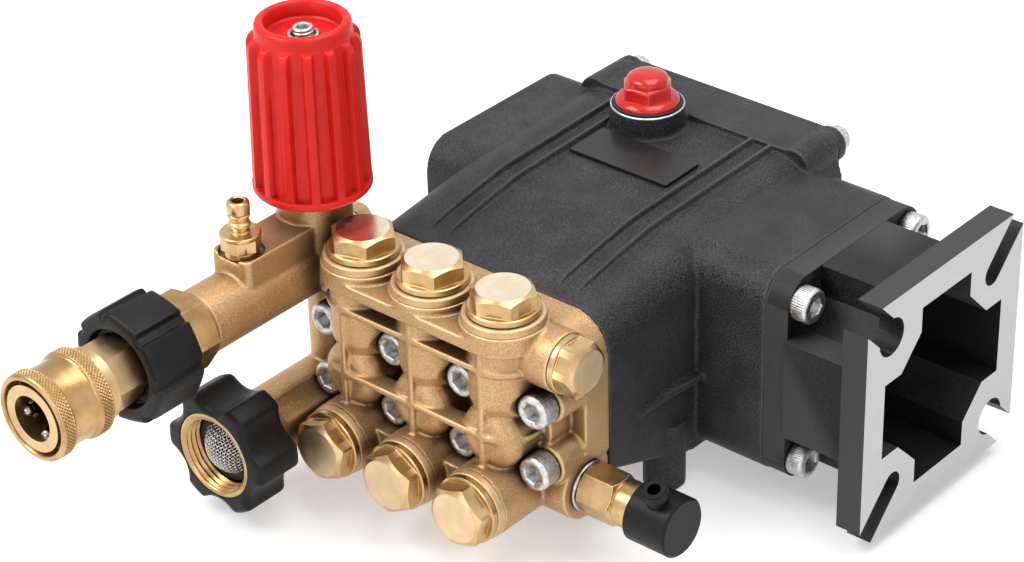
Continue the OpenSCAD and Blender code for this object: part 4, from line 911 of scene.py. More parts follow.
@dataclass
class Castings:
    """Crankcase, rear cover, engine adaptor and the brass manifold."""

    case_skin: Tuple[float, int] = (0.7, 2)  # size of the facets and times that the skin is evened
    brass_skin: Tuple[float, int] = (0.55, 4)
    face_depth: float = 0.02
    rib_x: Tuple[float, ...] = (-32.6, -24.6, 27.4, 36.0)
    # Y, height of the casting's top and height of the rib above it
    rib_line: Tuple[Point, ...] = (
        (-81.0, 37.6, 0.0), (-77.0, 38.2, 0.9), (-60.0, 40.3, 2.0), (-44.0, 42.3, 2.4), (-40.0, 42.8, 2.45),
        (-36.0, 42.9, 2.45), (0.0, 43.8, 2.45), (31.0, 44.56, 2.45))
    # Offset across the rib, and share of its height
    rib_section: Tuple[Tuple[float, float], ...] = (
        (-1.7, -0.6), (-1.1, 0.1), (-0.85, 0.75), (-0.5, 1.0), (0.5, 1.0), (0.85, 0.75), (1.1, 0.1),
        (1.7, -0.6))

    def build(self) -> None:
        """Builds every casting."""
        for node, name, skin, finish in (
                ("crankcase", "crankcase_casting", self.case_skin, POWDER_COAT),
                ("rear_cover", "rear_cover_casting", self.case_skin, POWDER_COAT),
                ("manifold", "manifold_casting", self.brass_skin, CAST_BRASS)):
            dressed(cast_skin(node, name, *skin), finish, Body.PUMP, node)
        self.adaptor()
        self.ribs()
        kept_shape("nameplate", "bare_nameplate", PLATE_BLACK, 0.3)

    def ribs(self) -> None:
        """Lays the crisp twin ribs over the top, low at the front and full height from the crest."""
        count = len(self.rib_section)
        points, faces = [], []
        for x in self.rib_x:
            start = len(points)
            for y, top, rise in self.rib_line:
                points += [(MID_X + x + u, y, top + w * (rise if w > 0 else 1.0))
                           for u, w in self.rib_section]
            for a in range(start, len(points) - count, count):
                faces += [[a + i, a + (i + 1) % count, a + count + (i + 1) % count, a + count + i]
                          for i in range(count)]
            faces += [list(range(start, start + count)), list(range(len(points) - count, len(points)))]
        ribs = softened(mesh_object("case_ribs", np.array(points), faces), 0.2, 30.0)
        dressed(ribs, POWDER_COAT, Body.PUMP)

    def adaptor(self) -> None:
        """Builds the engine adaptor with its milled mounting face."""
        piece = softened(copied("engine_adaptor", "engine_adaptor_casting"), 0.6, 25.0, 3)
        faced(settled(piece), SMOOTH_COAT, MILLED, 0, self.face_depth, 0.97)
        dressed(piece, SMOOTH_COAT, Body.PUMP, "engine_adaptor")


@dataclass(frozen=True)
class ScrewSize:
    """Sizes of a socket head screw: shank, length under the head, head and width across the socket."""

    shank_r: float
    length: float
    head_r: float
    head_h: float
    socket: float


@dataclass
class Fasteners:
    """Socket head screws of the manifold, the adaptor and the rear cover."""

    teeth: int = 44
    knurl_depth: float = 0.22
    long_m8: ScrewSize = ScrewSize(4.0, 39.0, 6.5, 8.0, 6.0)
    short_m8: ScrewSize = ScrewSize(4.0, 23.5, 6.5, 7.0, 6.0)
    cover_m6: ScrewSize = ScrewSize(3.0, 18.0, 5.0, 6.0, 5.0)
    manifold_face: float = -112.7
    manifold_z: float = 12.5
    adaptor_face: float = -39.0
    adaptor_off: float = 32.0
    cover_x: float = 46.5
    cover_z: Tuple[float, float] = (-39.0, 41.0)

    def screw(self, name: str, size: ScrewSize) -> Piece:
        """Makes one screw on Z with the underside of its head at 0.

        Args:
            name: Name of the object.
            size: The screw's sizes.

        Returns:
            The object.
        """
        def grip(radius: float) -> Profile:
            """The head's knurl."""
            return lambda a: radius - self.knurl_depth * (1 - np.minimum(
                1.0, 1.6 * saw(a * self.teeth / (2 * math.pi))))
        head_r, head_h, shank_r, length = size.head_r, size.head_h, size.shank_r, size.length
        floor = head_h * 0.45
        hole = hexagon(size.socket)
        rings = [(floor - 0.6, 0.0), (floor, hole), (head_h - 0.5, hole),
                 (head_h, lambda a: hole(a) + 0.35), (head_h, head_r - 1.5), (head_h - 0.05, head_r - 1.1),
                 (head_h - 0.3, head_r - 0.6), (head_h - 0.9, head_r - 0.18), (head_h - 1.2, head_r - 0.05),
                 (head_h - 1.5, grip(head_r)), (1.0, grip(head_r)), (0.7, head_r - 0.2),
                 (0.0, head_r - 0.4), (0.0, shank_r + 0.1), (-0.6, shank_r), (-length + 1.0, shank_r),
                 (-length, shank_r - 0.8), (-length, 0.0)]
        return turned(name, rings, self.teeth * 6)

    def group(self, name: str, node: str, size: ScrewSize, places: Sequence[Point], axis: Axis,
              spin: float) -> None:
        """Builds equal screws as one piece.

        Args:
            name: Name of the piece.
            node: The frame's node of these screws.
            size: Their sizes.
            places: The undersides of their heads.
            axis: The way their heads point.
            spin: Turn of each screw against the one before, in degrees.
        """
        made = [placed(self.screw(f"{name}_{i}", size), at, axis, spin * i) for i, at in enumerate(places)]
        dressed(merged(name, made), ZINC, Body.PUMP, node)

    def build(self) -> None:
        """Builds every group of screws."""
        front = [(MID_X + k * PITCH, self.manifold_face, z) for k in (-1.5, -0.5, 0.5, 1.5)
                 for z in (-self.manifold_z, self.manifold_z)]
        self.group("manifold_bolts", "manifold_screws", self.long_m8, front, Axis.FRONT, 17)
        side = [(self.adaptor_face, y, z) for y in (-self.adaptor_off, self.adaptor_off)
                for z in (-self.adaptor_off, self.adaptor_off)]
        self.group("adaptor_bolts", "adaptor_screws", self.short_m8, side, Axis.RIGHT, 23)
        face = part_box("rear_cover_screws")[1].y / MM - self.cover_m6.head_h
        back = [(MID_X + x, face, z) for x in (-self.cover_x, self.cover_x) for z in self.cover_z]
        self.group("cover_bolts", "rear_cover_screws", self.cover_m6, back, Axis.REAR, 31)


@dataclass(frozen=True)
class CapSize:
    """Sizes of a hexagon cap or plug: thread's length, hexagon, flange and thread's radius."""

    length: float
    flats: float
    hex_height: float
    flange_r: float
    flange_t: float
    thread_r: float


@dataclass
class ValveCaps:
    """Hexagon caps over the valves and the plugs of the cross passages."""

    discharge: CapSize = CapSize(4.5, 21.0, 6.2, 12.8, 2.6, 10.0)
    inlet: CapSize = CapSize(5.0, 21.0, 6.2, 12.8, 2.6, 10.0)
    gallery: CapSize = CapSize(9.0, 18.0, 7.4, 10.5, 2.3, 7.0)
    bypass: CapSize = CapSize(3.0, 13.0, 7.0, 7.2, 1.2, 4.5)
    discharge_phase: Tuple[float, ...] = (18.0, 14.0, 22.0)
    inlet_phase: Tuple[float, ...] = (20.0, 28.0, 16.0)
    raise_mm: float = 2.8
    seat_bore: float = 10.4
    discharge_seat_r: float = 14.9
    inlet_seat_r: float = 13.4
    pad_z: float = 42.0
    discharge_y: float = 114.5
    inlet_y: float = 132.0
    inlet_z: float = 25.1
    gallery_at: Point = (-78.5, -110.0, 30.5)
    bypass_at: Point = (SIDE_X + 3, -97.5, 37.5)

    def cap(self, name: str, size: CapSize, phase: float, face: Optional[Finish] = None) -> Piece:
        """Makes one cap on Z, the underside of its flange at 0.

        Args:
            name: Name of the piece.
            size: Its sizes.
            phase: Angle of a corner of its hexagon, in degrees.
            face: Paler finish of its flat top.

        Returns:
            The piece.
        """
        flange_r, flange_t, thread_r, length = size.flange_r, size.flange_t, size.thread_r, size.length
        top = flange_t + size.hex_height
        start = size.flats / 2 - 0.9
        outline = hexagon(size.flats, phase)
        side = chamfered(size.flats, top - 0.15, start, phase)
        rings = [(top - 0.12, 0.0), (top - 0.1, start * 0.5), (top, start - 1.0), (top, start - 0.2),
                 (side, outline), (flange_t + 0.25, outline), (flange_t, lambda a: outline(a) + 0.12),
                 (flange_t, flange_r - 0.5), (flange_t - 0.35, flange_r), (0.35, flange_r),
                 (0.0, flange_r - 0.35), (0.0, thread_r - 0.9), (-1.2, thread_r - 0.9)]
        rings += thread_rings(-1.6, -length + 0.8, thread_r, pitch=1.5, depth=0.7, steps=4)
        rings += [(-length, thread_r - 1.2), (-length, 0.0)]
        piece = softened(turned(name, rings, 120), 0.22, 25.0)
        if face:
            faced(piece, BRIGHT_BRASS, face, 2, 0.4, 0.95)
        return piece

    def seats(self) -> None:
        """Builds the round seats that stand on the casting under the six caps."""
        made = []
        bore, top = self.seat_bore, self.raise_mm - 0.03
        for x in VALVE_X:
            for radius, at, axis in (
                    (self.discharge_seat_r, (x, -self.discharge_y, self.pad_z), Axis.UP),
                    (self.inlet_seat_r, (x, -self.inlet_y, -self.inlet_z), Axis.FRONT)):
                rings = [(-0.4, bore), (-0.4, radius), (0.5, radius - 0.1), (top - 0.7, radius - 0.35),
                         (top - 0.25, radius - 0.5), (top, radius - 0.95), (top, bore)]
                made.append(placed(turned(f"seat{len(made)}", rings, 96, True), at, axis))
        dressed(merged("cap_seats", made), CAST_BRASS, Body.PUMP)

    def build(self) -> None:
        """Builds the six caps and the two plugs."""
        self.seats()
        for i, x in enumerate(VALVE_X):
            above = (x, -self.discharge_y, self.pad_z + self.raise_mm)
            ahead = (x, -self.inlet_y - self.raise_mm, -self.inlet_z)
            # tops get the lit copy of the face brass, inlet ends the half-lit copy: painted highlights
            for name, size, phase, face, at, axis in (
                    ("discharge_cap", self.discharge, self.discharge_phase[i], LIT_FACE_BRASS, above, Axis.UP),
                    ("inlet_cap", self.inlet, self.inlet_phase[i], HALF_LIT_FACE_BRASS, ahead, Axis.FRONT)):
                cap = self.cap(f"{name}_{i + 1}", size, phase, face)
                dressed(placed(cap, at, axis), BRIGHT_BRASS, Body.PUMP, "valve_caps")
        # the plug's end gets the half-lit face brass: a painted highlight
        plug = self.cap("gallery_plug_right", self.gallery, 30.0, HALF_LIT_FACE_BRASS)
        dressed(placed(plug, self.gallery_at, Axis.RIGHT), BRIGHT_BRASS, Body.PUMP, "gallery_plugs")
        rear = self.cap("bypass_plug_rear", self.bypass, 0.0)
        dressed(placed(rear, self.bypass_at, Axis.REAR), BRIGHT_BRASS, Body.PUMP, "gallery_plugs")


@dataclass
class PressureKnob:
    """Red grip of the unloader with its screw, and the gland under it."""

    base_z: float = 59.5
    height: float = 64.3
    radius: float = 21.2
    neck: float = 59.3
    crown_r: float = 16.9
    ribs: int = 14
    rib_phase: float = 0.36
    rib_top: float = 1.35
    rib_foot: float = 2.4
    recess_r: float = 13.4
    recess: float = 6.2
    screw_r: float = 4.0
    foot: float = 3.0
    panel: Tuple[float, float] = (2.6, 1.4)  # set in from the radius at the foot, and more towards the neck
    crest: Tuple[float, float] = (0.1, 1.2)  # the same for the ribs' crests
    fade_mm: float = 3.8
    bore: Tuple[float, float, float] = (12.0, 13.6, 14.2)  # depth, radius inside, radius at the foot

    def grip_ring(self, level: float) -> Ring:
        """One ring of the ribbed grip.

        Args:
            level: Height above the foot.

        Returns:
            The ring.
        """
        share = (level - self.foot) / (self.neck - self.foot)
        panel, crest = (self.radius - inset - lean * share for inset, lean in (self.panel, self.crest))
        fade = min(1.0, max(0.0, (self.neck - 0.3 - level) / self.fade_mm))
        rise = (crest - panel) * math.sqrt(max(0.0, 1 - (1 - fade) ** 2))

        def shape(angles: np.ndarray) -> np.ndarray:
            """Radius at each angle."""
            step = 2 * math.pi / self.ribs
            off = np.abs((angles - (self.rib_phase - 0.5) * step) % step - step / 2) * crest
            blend = np.clip((self.rib_foot - off) / (self.rib_foot - self.rib_top), 0.0, 1.0)
            return panel + rise * blend * blend * (3 - 2 * blend)
        return (level, shape)

    def build(self) -> None:
        """Builds the grip, the adjusting screw and the gland."""
        r, top = self.radius, self.height
        deep, inner, outer = self.bore
        rings = [(0.0, r - 1.0), (0.25, r - 0.4), (0.9, r), (2.5, r), (2.9, r - 0.25)]
        levels = np.concatenate([np.linspace(3.2, self.neck - 5.0, 14),
                                 np.linspace(self.neck - 4.4, self.neck - 0.3, 14)])
        rings += [self.grip_ring(float(z)) for z in levels]
        rings += [(self.neck, self.crown_r + 0.15), (self.neck + 0.6, self.crown_r),
                  (top - 2.0, self.crown_r - 0.05)]
        rings += rounded_rim(top, self.crown_r - 0.05, 1.7)
        rings += [(top, self.recess_r + 1.0), (top - 0.2, self.recess_r + 0.5), (top - 0.9, self.recess_r),
                  (top - self.recess + 0.7, self.recess_r - 0.2), (top - self.recess, self.recess_r - 0.9),
                  (top - self.recess, self.screw_r), (deep, self.screw_r), (deep, inner), (0.0, outer)]
        grip = softened(turned("pressure_knob", rings, self.ribs * 20, True), 0.2, 40.0)
        dressed(placed(grip, (SIDE_X, UNLOADER_Y, self.base_z)), RED_SATIN, Body.KNOB, "knob")
        self.screw()
        kept_shape("unloader_gland", "gland_nut", BRIGHT_BRASS, 0.2)

    def screw(self) -> None:
        """Builds the threaded adjusting screw with its washer."""
        floor = self.base_z + self.height - self.recess
        hole = hexagon(4.0)
        top = floor + 3.4
        rings = [(top - 3.2, 0.0), (top - 3.0, hole), (top - 0.3, hole), (top, lambda a: hole(a) + 0.3),
                 (top, 3.2), (top - 0.5, 3.75)]
        rings += thread_rings(top - 0.8, floor + 0.2, self.screw_r, pitch=1.25, depth=0.65, steps=8)
        rings += [(floor, 3.7), (53.9, 3.7), (53.8, 6.2), (52.2, 6.4), (52.0, 6.2), (52.0, 0.0)]
        at = (SIDE_X, UNLOADER_Y, 0.0)
        dressed(placed(turned("adjusting_screw", rings, 96), at), ZINC, Body.KNOB, "knob_screw")
        washer = [(floor + 0.02, 4.1), (floor + 0.8, 4.1), (floor + 0.95, 4.3), (floor + 0.95, 5.3),
                  (floor + 0.75, 5.6), (floor + 0.02, 5.6)]
        dressed(placed(turned("knob_washer", washer, 96, True), at), ZINC, Body.KNOB)


@dataclass
class Injector:
    """Brass barb for the detergent hose."""

    y: float = -146.5
    seat_z: float = 48.0
    flats: float = 12.6

    def build(self) -> None:
        """Builds the barb."""
        outline = hexagon(self.flats)
        rings = [(-5.0, 2.0), (-5.0, 3.7), (-0.1, 4.0), (0.0, 5.7), (0.5, 6.2), (1.6, 6.3), (2.5, 6.1),
                 (2.8, outline), (7.3, outline), (7.4, 7.1), (7.7, 7.3), (8.7, 7.3), (9.0, 7.0),
                 (9.05, 3.5), (9.6, 3.1), (10.2, 3.15), (10.9, 3.5), (11.8, 3.92), (12.3, 3.98),
                 (12.75, 3.75), (13.1, 3.3), (13.6, 3.2), (14.2, 3.5), (15.1, 3.92), (15.6, 3.98),
                 (16.0, 3.75), (16.3, 3.3), (16.5, 3.3), (16.8, 4.0), (17.0, 4.05), (20.1, 4.05),
                 (20.7, 3.8), (21.05, 3.3), (21.2, 2.7), (20.9, 2.1), (19.5, 2.0)]
        barb = softened(turned("injector_barb_body", rings, 96, True), 0.15, 35.0)
        dressed(placed(barb, (SIDE_X, self.y, self.seat_z)), BRIGHT_BRASS, Body.PUMP, "injector_barb")


@dataclass
class OutletCoupler:
    """Outlet adapter, ribbed hand nut and the quick coupler with its knurled sleeve."""

    z: float = 31.0
    adapter_y: float = -171.0
    hex_len: float = 13.0
    hex_flats: float = 26.0
    chamfer_r: float = 12.6
    nut_y: float = -185.8
    nut_r: float = 21.0
    nut_len: float = 21.5
    grooves: int = 7
    groove_half: float = 2.5
    sleeve_y: float = -222.9
    sleeve_r: float = 16.0
    sleeve_len: float = 22.6
    diamonds: int = 70
    diamond_rise: float = 1.4
    knurl_depth: float = 0.85
    mouth_r: float = 8.4
    mouth_from: float = 7.0
    mouth_depth: float = 7.0
    balls: int = 5
    ball_r: float = 2.4
    ball_sink: float = 1.7
    ball_depth: float = 5.6

    def at(self, y: float) -> Point:
        """A point on the outlet's axis."""
        return (SIDE_X, y, self.z)

    def adapter(self) -> None:
        """Builds the adapter's collar, hexagon and thread."""
        outline = hexagon(self.hex_flats)
        top = self.hex_len + 1.0
        rings = [(-10.5, 6.0), (-10.5, 8.0), (-0.02, 8.0), (0.0, 12.4), (0.3, 12.8), (1.0, 12.8),
                 (lambda a: 1.0 + np.maximum(outline(a) - self.chamfer_r, 0) * CHAMFER, outline),
                 (chamfered(self.hex_flats, top, self.chamfer_r), outline), (top, 12.4), (top, 10.4)]
        rings += thread_rings(top + 0.5, top + 13.6, 11.0, pitch=1.5, depth=0.8, steps=4)
        rings += [(top + 14.4, 10.0), (top + 14.5, 7.1), (top + 6.0, 7.1), (top + 6.0, 6.0)]
        piece = softened(turned("outlet_adapter_body", rings, 120, True), 0.25, 28.0)
        placed(piece, self.at(self.adapter_y), Axis.FRONT)
        dressed(piece, SATIN_BRASS, Body.PUMP, "outlet_adapter")

    def hand_nut(self) -> None:
        """Builds the black nut with its narrow grooves and front recess."""
        def grip(radius: float, depth: float = 2.0) -> Profile:
            """The grooved grip at one height."""
            def shape(angles: np.ndarray) -> np.ndarray:
                """Radius at each angle."""
                step = 2 * math.pi / self.grooves
                turn = np.abs((angles + step / 2) % step - step / 2)
                edge = step / 2 - self.groove_half / self.nut_r
                flat = radius * math.cos(edge) / np.cos(np.minimum(step / 2 - turn, edge))
                dip = np.clip((self.groove_half - turn * self.nut_r) / 0.9, 0.0, 1.0)
                return 0.4 * radius + 0.6 * flat - depth * dip * dip * (3 - 2 * dip)
            return shape
        length, r = self.nut_len, self.nut_r
        rings = [(0.0, 11.05), (0.0, grip(r - 2.2, 0.9)), (0.35, grip(r - 0.9, 1.5)), (1.1, grip(r - 0.2)),
                 (1.8, grip(r)), (length - 2.2, grip(r)), (length - 1.2, grip(r - 0.25)),
                 (length - 0.5, grip(r - 0.8, 1.7)), (length - 0.1, grip(r - 1.6, 1.3)),
                 (length, grip(r - 2.4, 0.9)), (length, 15.3), (length - 0.3, 14.8), (length - 1.0, 14.5),
                 (length - 3.6, 14.4), (length - 4.0, 13.9), (length - 4.0, 9.3), (15.1, 9.3),
                 (15.1, 11.05)]
        piece = softened(turned("ribbed_hand_nut", rings, self.grooves * 30, True), 0.3, 35.0)
        placed(piece, self.at(self.nut_y), Axis.FRONT)
        dressed(piece, BLACK_MOULDED, Body.HANDWHEEL, "m22_handwheel")

    def coupler(self) -> None:
        """Builds the coupler's tail, its body with a wider mouth, and its balls."""
        kept_shape("coupler_tail", "coupler_tail_tube", BRIGHT_BRASS, 0.25)
        core = copied("coupler_body", "coupler_core")
        front = min(point.co.y for point in core.data.vertices)
        for point in core.data.vertices:
            away = Vector((point.co.x - SIDE_X * MM, 0.0, point.co.z - self.z * MM))
            near = point.co.y < front + self.mouth_depth * MM
            if near and self.mouth_from * MM < away.length < self.mouth_r * MM:
                point.co += away * (self.mouth_r * MM / away.length - 1)
        dressed(softened(core, 0.25), CORE_BRASS, Body.PUMP, "coupler_body")
        made = []
        reach = self.mouth_r + self.ball_r - self.ball_sink
        arc = np.linspace(0, math.pi, 13)
        rings = [(-self.ball_r * math.cos(t), self.ball_r * math.sin(t)) for t in arc]
        for i in range(self.balls):
            turn = 2 * math.pi * (i + 0.5) / self.balls
            at = (SIDE_X + reach * math.sin(turn), front / MM + self.ball_depth,
                  self.z + reach * math.cos(turn))
            made.append(placed(turned(f"ball{i}", rings, 24), at))
        dressed(merged("locking_balls", made), BALL_STEEL, Body.PUMP, "coupler_balls")

    def sleeve(self) -> None:
        """Builds the sliding sleeve with two diamond knurls and a waist."""
        r, length = self.sleeve_r, self.sleeve_len
        waist = r - 1.2

        def knurl(start: float, end: float) -> List[Ring]:
            """Rings through one knurled band."""
            return [knurl_ring(float(z), r, self.diamonds, self.diamond_rise, self.knurl_depth)
                    for z in np.linspace(start, end, 24)]
        rings = [(0.0, 13.8), (0.0, r - 0.7), (0.15, r - 0.3), (0.4, r - 0.1)]
        rings += knurl(0.6, 4.6)
        rings += [(4.8, r - 0.12), (5.0, r - 0.5), (5.3, waist), (6.2, waist - 0.1), (11.0, waist - 0.2),
                  (length - 6.6, waist - 0.1), (length - 5.9, waist), (length - 5.6, r - 0.5),
                  (length - 5.4, r - 0.12)]
        rings += knurl(length - 5.2, length - 1.3)
        rings += [(length - 1.1, r - 0.1), (length - 0.8, r - 0.15), (length - 0.35, r - 0.45),
                  (length - 0.05, r - 1.0), (length, r - 1.4), (length, 14.1), (length - 0.3, 13.8),
                  (length - 6.5, 13.7), (length - 6.7, 12.26), (10.8, 12.26), (10.6, 13.7)]
        piece = turned("knurled_sleeve", rings, self.diamonds * 6, True)
        placed(piece, self.at(self.sleeve_y), Axis.FRONT)
        dressed(piece, SATIN_BRASS, Body.SLEEVE, "coupler_sleeve")

    def build(self) -> None:
        """Builds the outlet side."""
        self.adapter()
        self.hand_nut()
        self.coupler()
        self.sleeve()


@dataclass
class HoseInlet:
    """Swivel hose nut with its brass ring, tail and woven filter."""

    z: float = -25.1
    front_y: float = -168.0
    length: float = 20.5
    radius: float = 23.5
    ring_len: float = 17.0
    lobes: int = 6
    bite_reach: float = 32.2
    bite_r: float = 13.0
    bite_soft: float = 0.35
    rim_y: float = -157.0
    seal_t: float = 4.4
    dome: float = 6.2
    dome_r: float = 10.4
    wire_r: float = 0.19
    wire_pitch: float = 1.05
    wire_sides: int = 4
    shortest: float = 0.8

    def at(self, y: float) -> Point:
        """A point on the inlet's axis."""
        return (SIDE_X, y, self.z)

    def cover(self) -> None:
        """Builds the lobed black cover."""
        soft, far = self.bite_soft, 60.0

        def lobed(inset: float) -> Profile:
            """The outline, set in from its widest."""
            def shape(angles: np.ndarray) -> np.ndarray:
                """Radius at each angle: round, with soft bites between the lobes."""
                step = 2 * math.pi / self.lobes
                off = angles % step - step / 2
                side = self.bite_reach * np.sin(off)
                inside = np.sqrt(np.clip(self.bite_r ** 2 - side ** 2, 0.0, None))
                dip = np.where(np.abs(side) < self.bite_r, self.bite_reach * np.cos(off) - inside, far)
                both = np.exp(-dip / soft) + math.exp(-self.radius / soft)
                return -np.log(both) * soft - inset
            return shape
        n = self.length
        rings = [(0.0, 13.5), (0.0, lobed(2.6)), (0.4, lobed(1.4)), (1.2, lobed(0.5)), (2.2, lobed(0.1)),
                 (3.4, lobed(0.0)), (n - 2.6, lobed(0.0)), (n - 1.6, lobed(0.25)), (n - 0.8, lobed(0.8)),
                 (n - 0.2, lobed(1.7)), (n, lobed(2.4)), (n, 16.9), (n - 0.4, 16.65), (3.6, 16.65),
                 (3.6, 13.5)]
        piece = softened(turned("lobed_hose_nut", rings, self.lobes * 36, True), 0.3, 35.0)
        placed(piece, self.at(self.front_y + n), Axis.FRONT)
        dressed(piece, BLACK_MOULDED, Body.HOSE_NUT, "hose_nut_cover")

    def ring(self) -> None:
        """Builds the brass ring with its inner thread."""
        n = self.ring_len
        rings = [(0.0, 10.2), (0.0, 16.3), (0.3, 16.6), (n - 0.3, 16.6), (n, 16.2), (n, 15.4),
                 (n - 0.7, 14.8)]
        rings += thread_rings(n - 1.0, n - 6.6, 14.8, pitch=2.2, depth=1.1, steps=10)
        rings += [(n - 7.0, 13.8), (4.2, 13.8), (4.0, 12.9), (4.0, 10.2)]
        piece = softened(turned("threaded_ring", rings, 120, True), 0.15, 50.0)
        placed(piece, self.at(self.front_y + n), Axis.FRONT)
        dressed(piece, SATIN_BRASS, Body.HOSE_NUT, "hose_nut_ring")

    def height_at(self, reach: np.ndarray) -> np.ndarray:
        """Height of the filter's dome.

        Args:
            reach: Distance from the axis, in mm.

        Returns:
            Height above the rim.
        """
        share = np.clip(reach / self.dome_r, 0.0, 1.0)
        return self.seal_t - 0.2 + self.dome * (1 - share ** 2.2)

    def strand(self, off: float, half: float, over: int) -> np.ndarray:
        """The course of one wire that runs along X over the dome.

        Args:
            off: Its distance from the middle.
            half: Half its length.
            over: 1 or -1, whether it starts above or below the wires that it crosses.

        Returns:
            The course, one row per point.
        """
        run = np.linspace(-half, half, max(5, int(2 * half / self.wire_pitch * 4)))
        wave = np.cos(run / self.wire_pitch * math.pi) * over * self.wire_r
        return np.stack([run, np.full_like(run, off), self.height_at(np.hypot(run, off)) + wave], 1)

    def weave(self) -> None:
        """Builds the filter of single wires, over and under each other."""
        points: List[np.ndarray] = []
        faces: List[List[int]] = []
        rows = int(self.dome_r / self.wire_pitch)
        start = 0
        turns = [2 * math.pi * (j + 0.5) / self.wire_sides for j in range(self.wire_sides)]
        for across, k in ((a, k) for a in (0, 1) for k in range(-rows, rows + 1)):
            off = k * self.wire_pitch
            half = math.sqrt(max(self.dome_r ** 2 - off ** 2, 0.0))
            if half < self.shortest:
                continue
            line = self.strand(off, half, 1 if (k + across) % 2 else -1)
            if across:
                line = line[:, (1, 0, 2)]
            lead = np.gradient(line, axis=0)
            lead /= np.linalg.norm(lead, axis=1)[:, None]
            cross = np.cross(lead, np.array([0.0, 0.0, 1.0]))
            cross /= np.linalg.norm(cross, axis=1)[:, None]
            lift = np.cross(cross, lead)
            points += [line + self.wire_r * (math.cos(t) * cross + math.sin(t) * lift) for t in turns]
            n = len(line)
            sides = [start + j * n for j in range(self.wire_sides)]
            for a, b in zip(sides, sides[1:] + sides[:1]):
                faces += [[a + i, a + i + 1, b + i + 1, b + i] for i in range(n - 1)]
            faces += [sides, [a + n - 1 for a in sides]]
            start += n * self.wire_sides
        mesh = mesh_object("woven_filter", np.concatenate(points), faces)
        dressed(placed(mesh, self.at(self.rim_y), Axis.FRONT, 40.0), WIRE, Body.PUMP, "inlet_filter")

    def seal(self) -> None:
        """Builds the rubber washer round the filter."""
        t = self.seal_t
        rings = [(0.02, 8.6), (t - 0.5, 8.6), (t - 0.1, 9.6), (t, 10.3), (t, 12.5), (t - 0.2, 12.95),
                 (t - 0.7, 13.1), (0.02, 12.8)]
        dressed(placed(turned("inlet_seal", rings, 96, True), self.at(self.rim_y), Axis.FRONT), RUBBER,
                Body.PUMP, "inlet_filter")

    def build(self) -> None:
        """Builds the inlet side."""
        self.cover()
        self.ring()
        self.weave()
        self.seal()
        kept_shape("inlet_tail", "inlet_tail_tube", BRIGHT_BRASS, 0.2)


@dataclass
class ThermalValve:
    """Relief valve at the inlet's end: washer, brass body and black cap with a spout."""

    x: float = -78.5
    y: float = -99.3
    z: float = -25.1
    flats: float = 17.0
    phase: float = 30.0
    hex_end: float = 16.0
    length: float = 24.0

    def build(self) -> None:
        """Builds the body, the washer and the cap."""
        outline = hexagon(self.flats, self.phase)
        n, far = self.hex_end, self.length
        rings = [(-9.0, 2.5), (-9.0, 6.2), (-0.02, 6.5), (1.5, 6.5),
                 (lambda a: 1.5 + np.maximum(outline(a) - 8.3, 0) * CHAMFER, outline),
                 (chamfered(self.flats, n, 8.2, self.phase), outline), (n, 8.0), (n + 0.3, 7.7),
                 (n + 0.7, 8.2), (n + 1.1, 8.6), (far - 0.6, 8.6), (far, 8.2), (far, 5.0), (far + 5.9, 5.0),
                 (far + 6.0, 2.5)]
        at = (self.x, self.y, self.z)
        body = softened(turned("thermal_valve_hex", rings, 120, True), 0.2, 28.0)
        dressed(placed(body, at, Axis.RIGHT), BRIGHT_BRASS, Body.PUMP, "thermal_valve_body")
        washer = [(0.02, 6.6), (1.4, 6.6), (1.5, 6.9), (1.5, 9.2), (1.3, 9.5), (0.2, 9.5), (0.02, 9.3)]
        dressed(placed(turned("thermal_washer", washer, 96, True), at, Axis.RIGHT), ZINC, Body.PUMP)
        kept_shape("thermal_valve_cap", "thermal_cap", BLACK_MOULDED, 0.45, 30.0, 3)


@dataclass
class OilFittings:
    """Red filler cap with its seal and rim, the drain plug and the oil window."""

    x: float = MID_X - 12.5
    y: float = 19.5
    z: float = 53.2
    flats: float = 17.5
    phase: float = 10.0

    def cap(self) -> None:
        """Builds the glossy domed cap."""
        outline = hexagon(self.flats, self.phase)

        def tier(share: float, radius: float) -> Profile:
            """A section between round and hexagonal."""
            return lambda a: share * outline(a) * radius / (self.flats / 2) + (1 - share) * radius
        rings = [(-12.0, 0.0), (-12.0, 7.4), (-0.4, 7.9), (0.0, 11.5), (0.4, 12.0), (1.3, 12.1),
                 (2.0, 11.7), (2.7, 10.8), (3.1, 10.2), (3.2, tier(1.0, 8.95)), (3.6, tier(1.0, 8.75)),
                 (7.0, tier(1.0, 8.7)), (7.7, tier(0.85, 8.5)), (8.1, tier(0.5, 8.2)),
                 (8.3, tier(0.2, 7.9)), (9.9, tier(0.2, 7.75)), (10.7, tier(0.12, 7.3)),
                 (11.3, tier(0.05, 6.5)), (11.85, 5.3), (12.2, 3.8), (12.38, 2.0), (12.4, 0.0)]
        piece = softened(turned("filler_cap", rings, 120), 0.15, 40.0)
        dressed(placed(piece, (self.x, self.y, self.z)), RED_GLOSS, Body.PUMP, "oil_fill_cap")

    def build(self) -> None:
        """Builds the fittings of the oil side."""
        self.cap()
        at = (self.x, self.y, self.z)
        seal = [(0.02, 12.15), (0.02, 12.9), (0.6, 13.0), (0.9, 12.7), (0.9, 12.3), (0.7, 12.15)]
        dressed(placed(turned("filler_seal", seal, 96, True), at), RUBBER, Body.PUMP)
        rim = [(-0.6, 13.25), (0.1, 13.25), (0.1, 13.6), (-0.1, 13.85), (-0.5, 13.98), (-0.6, 13.9)]
        dressed(placed(turned("filler_rim", rim, 96, True), at), ZINC, Body.PUMP)
        kept_shape("drain_plug", "drain_screw", ZINC, 0.3)
        kept_shape("sight_glass", "oil_window_lens", WINDOW, 0.3)


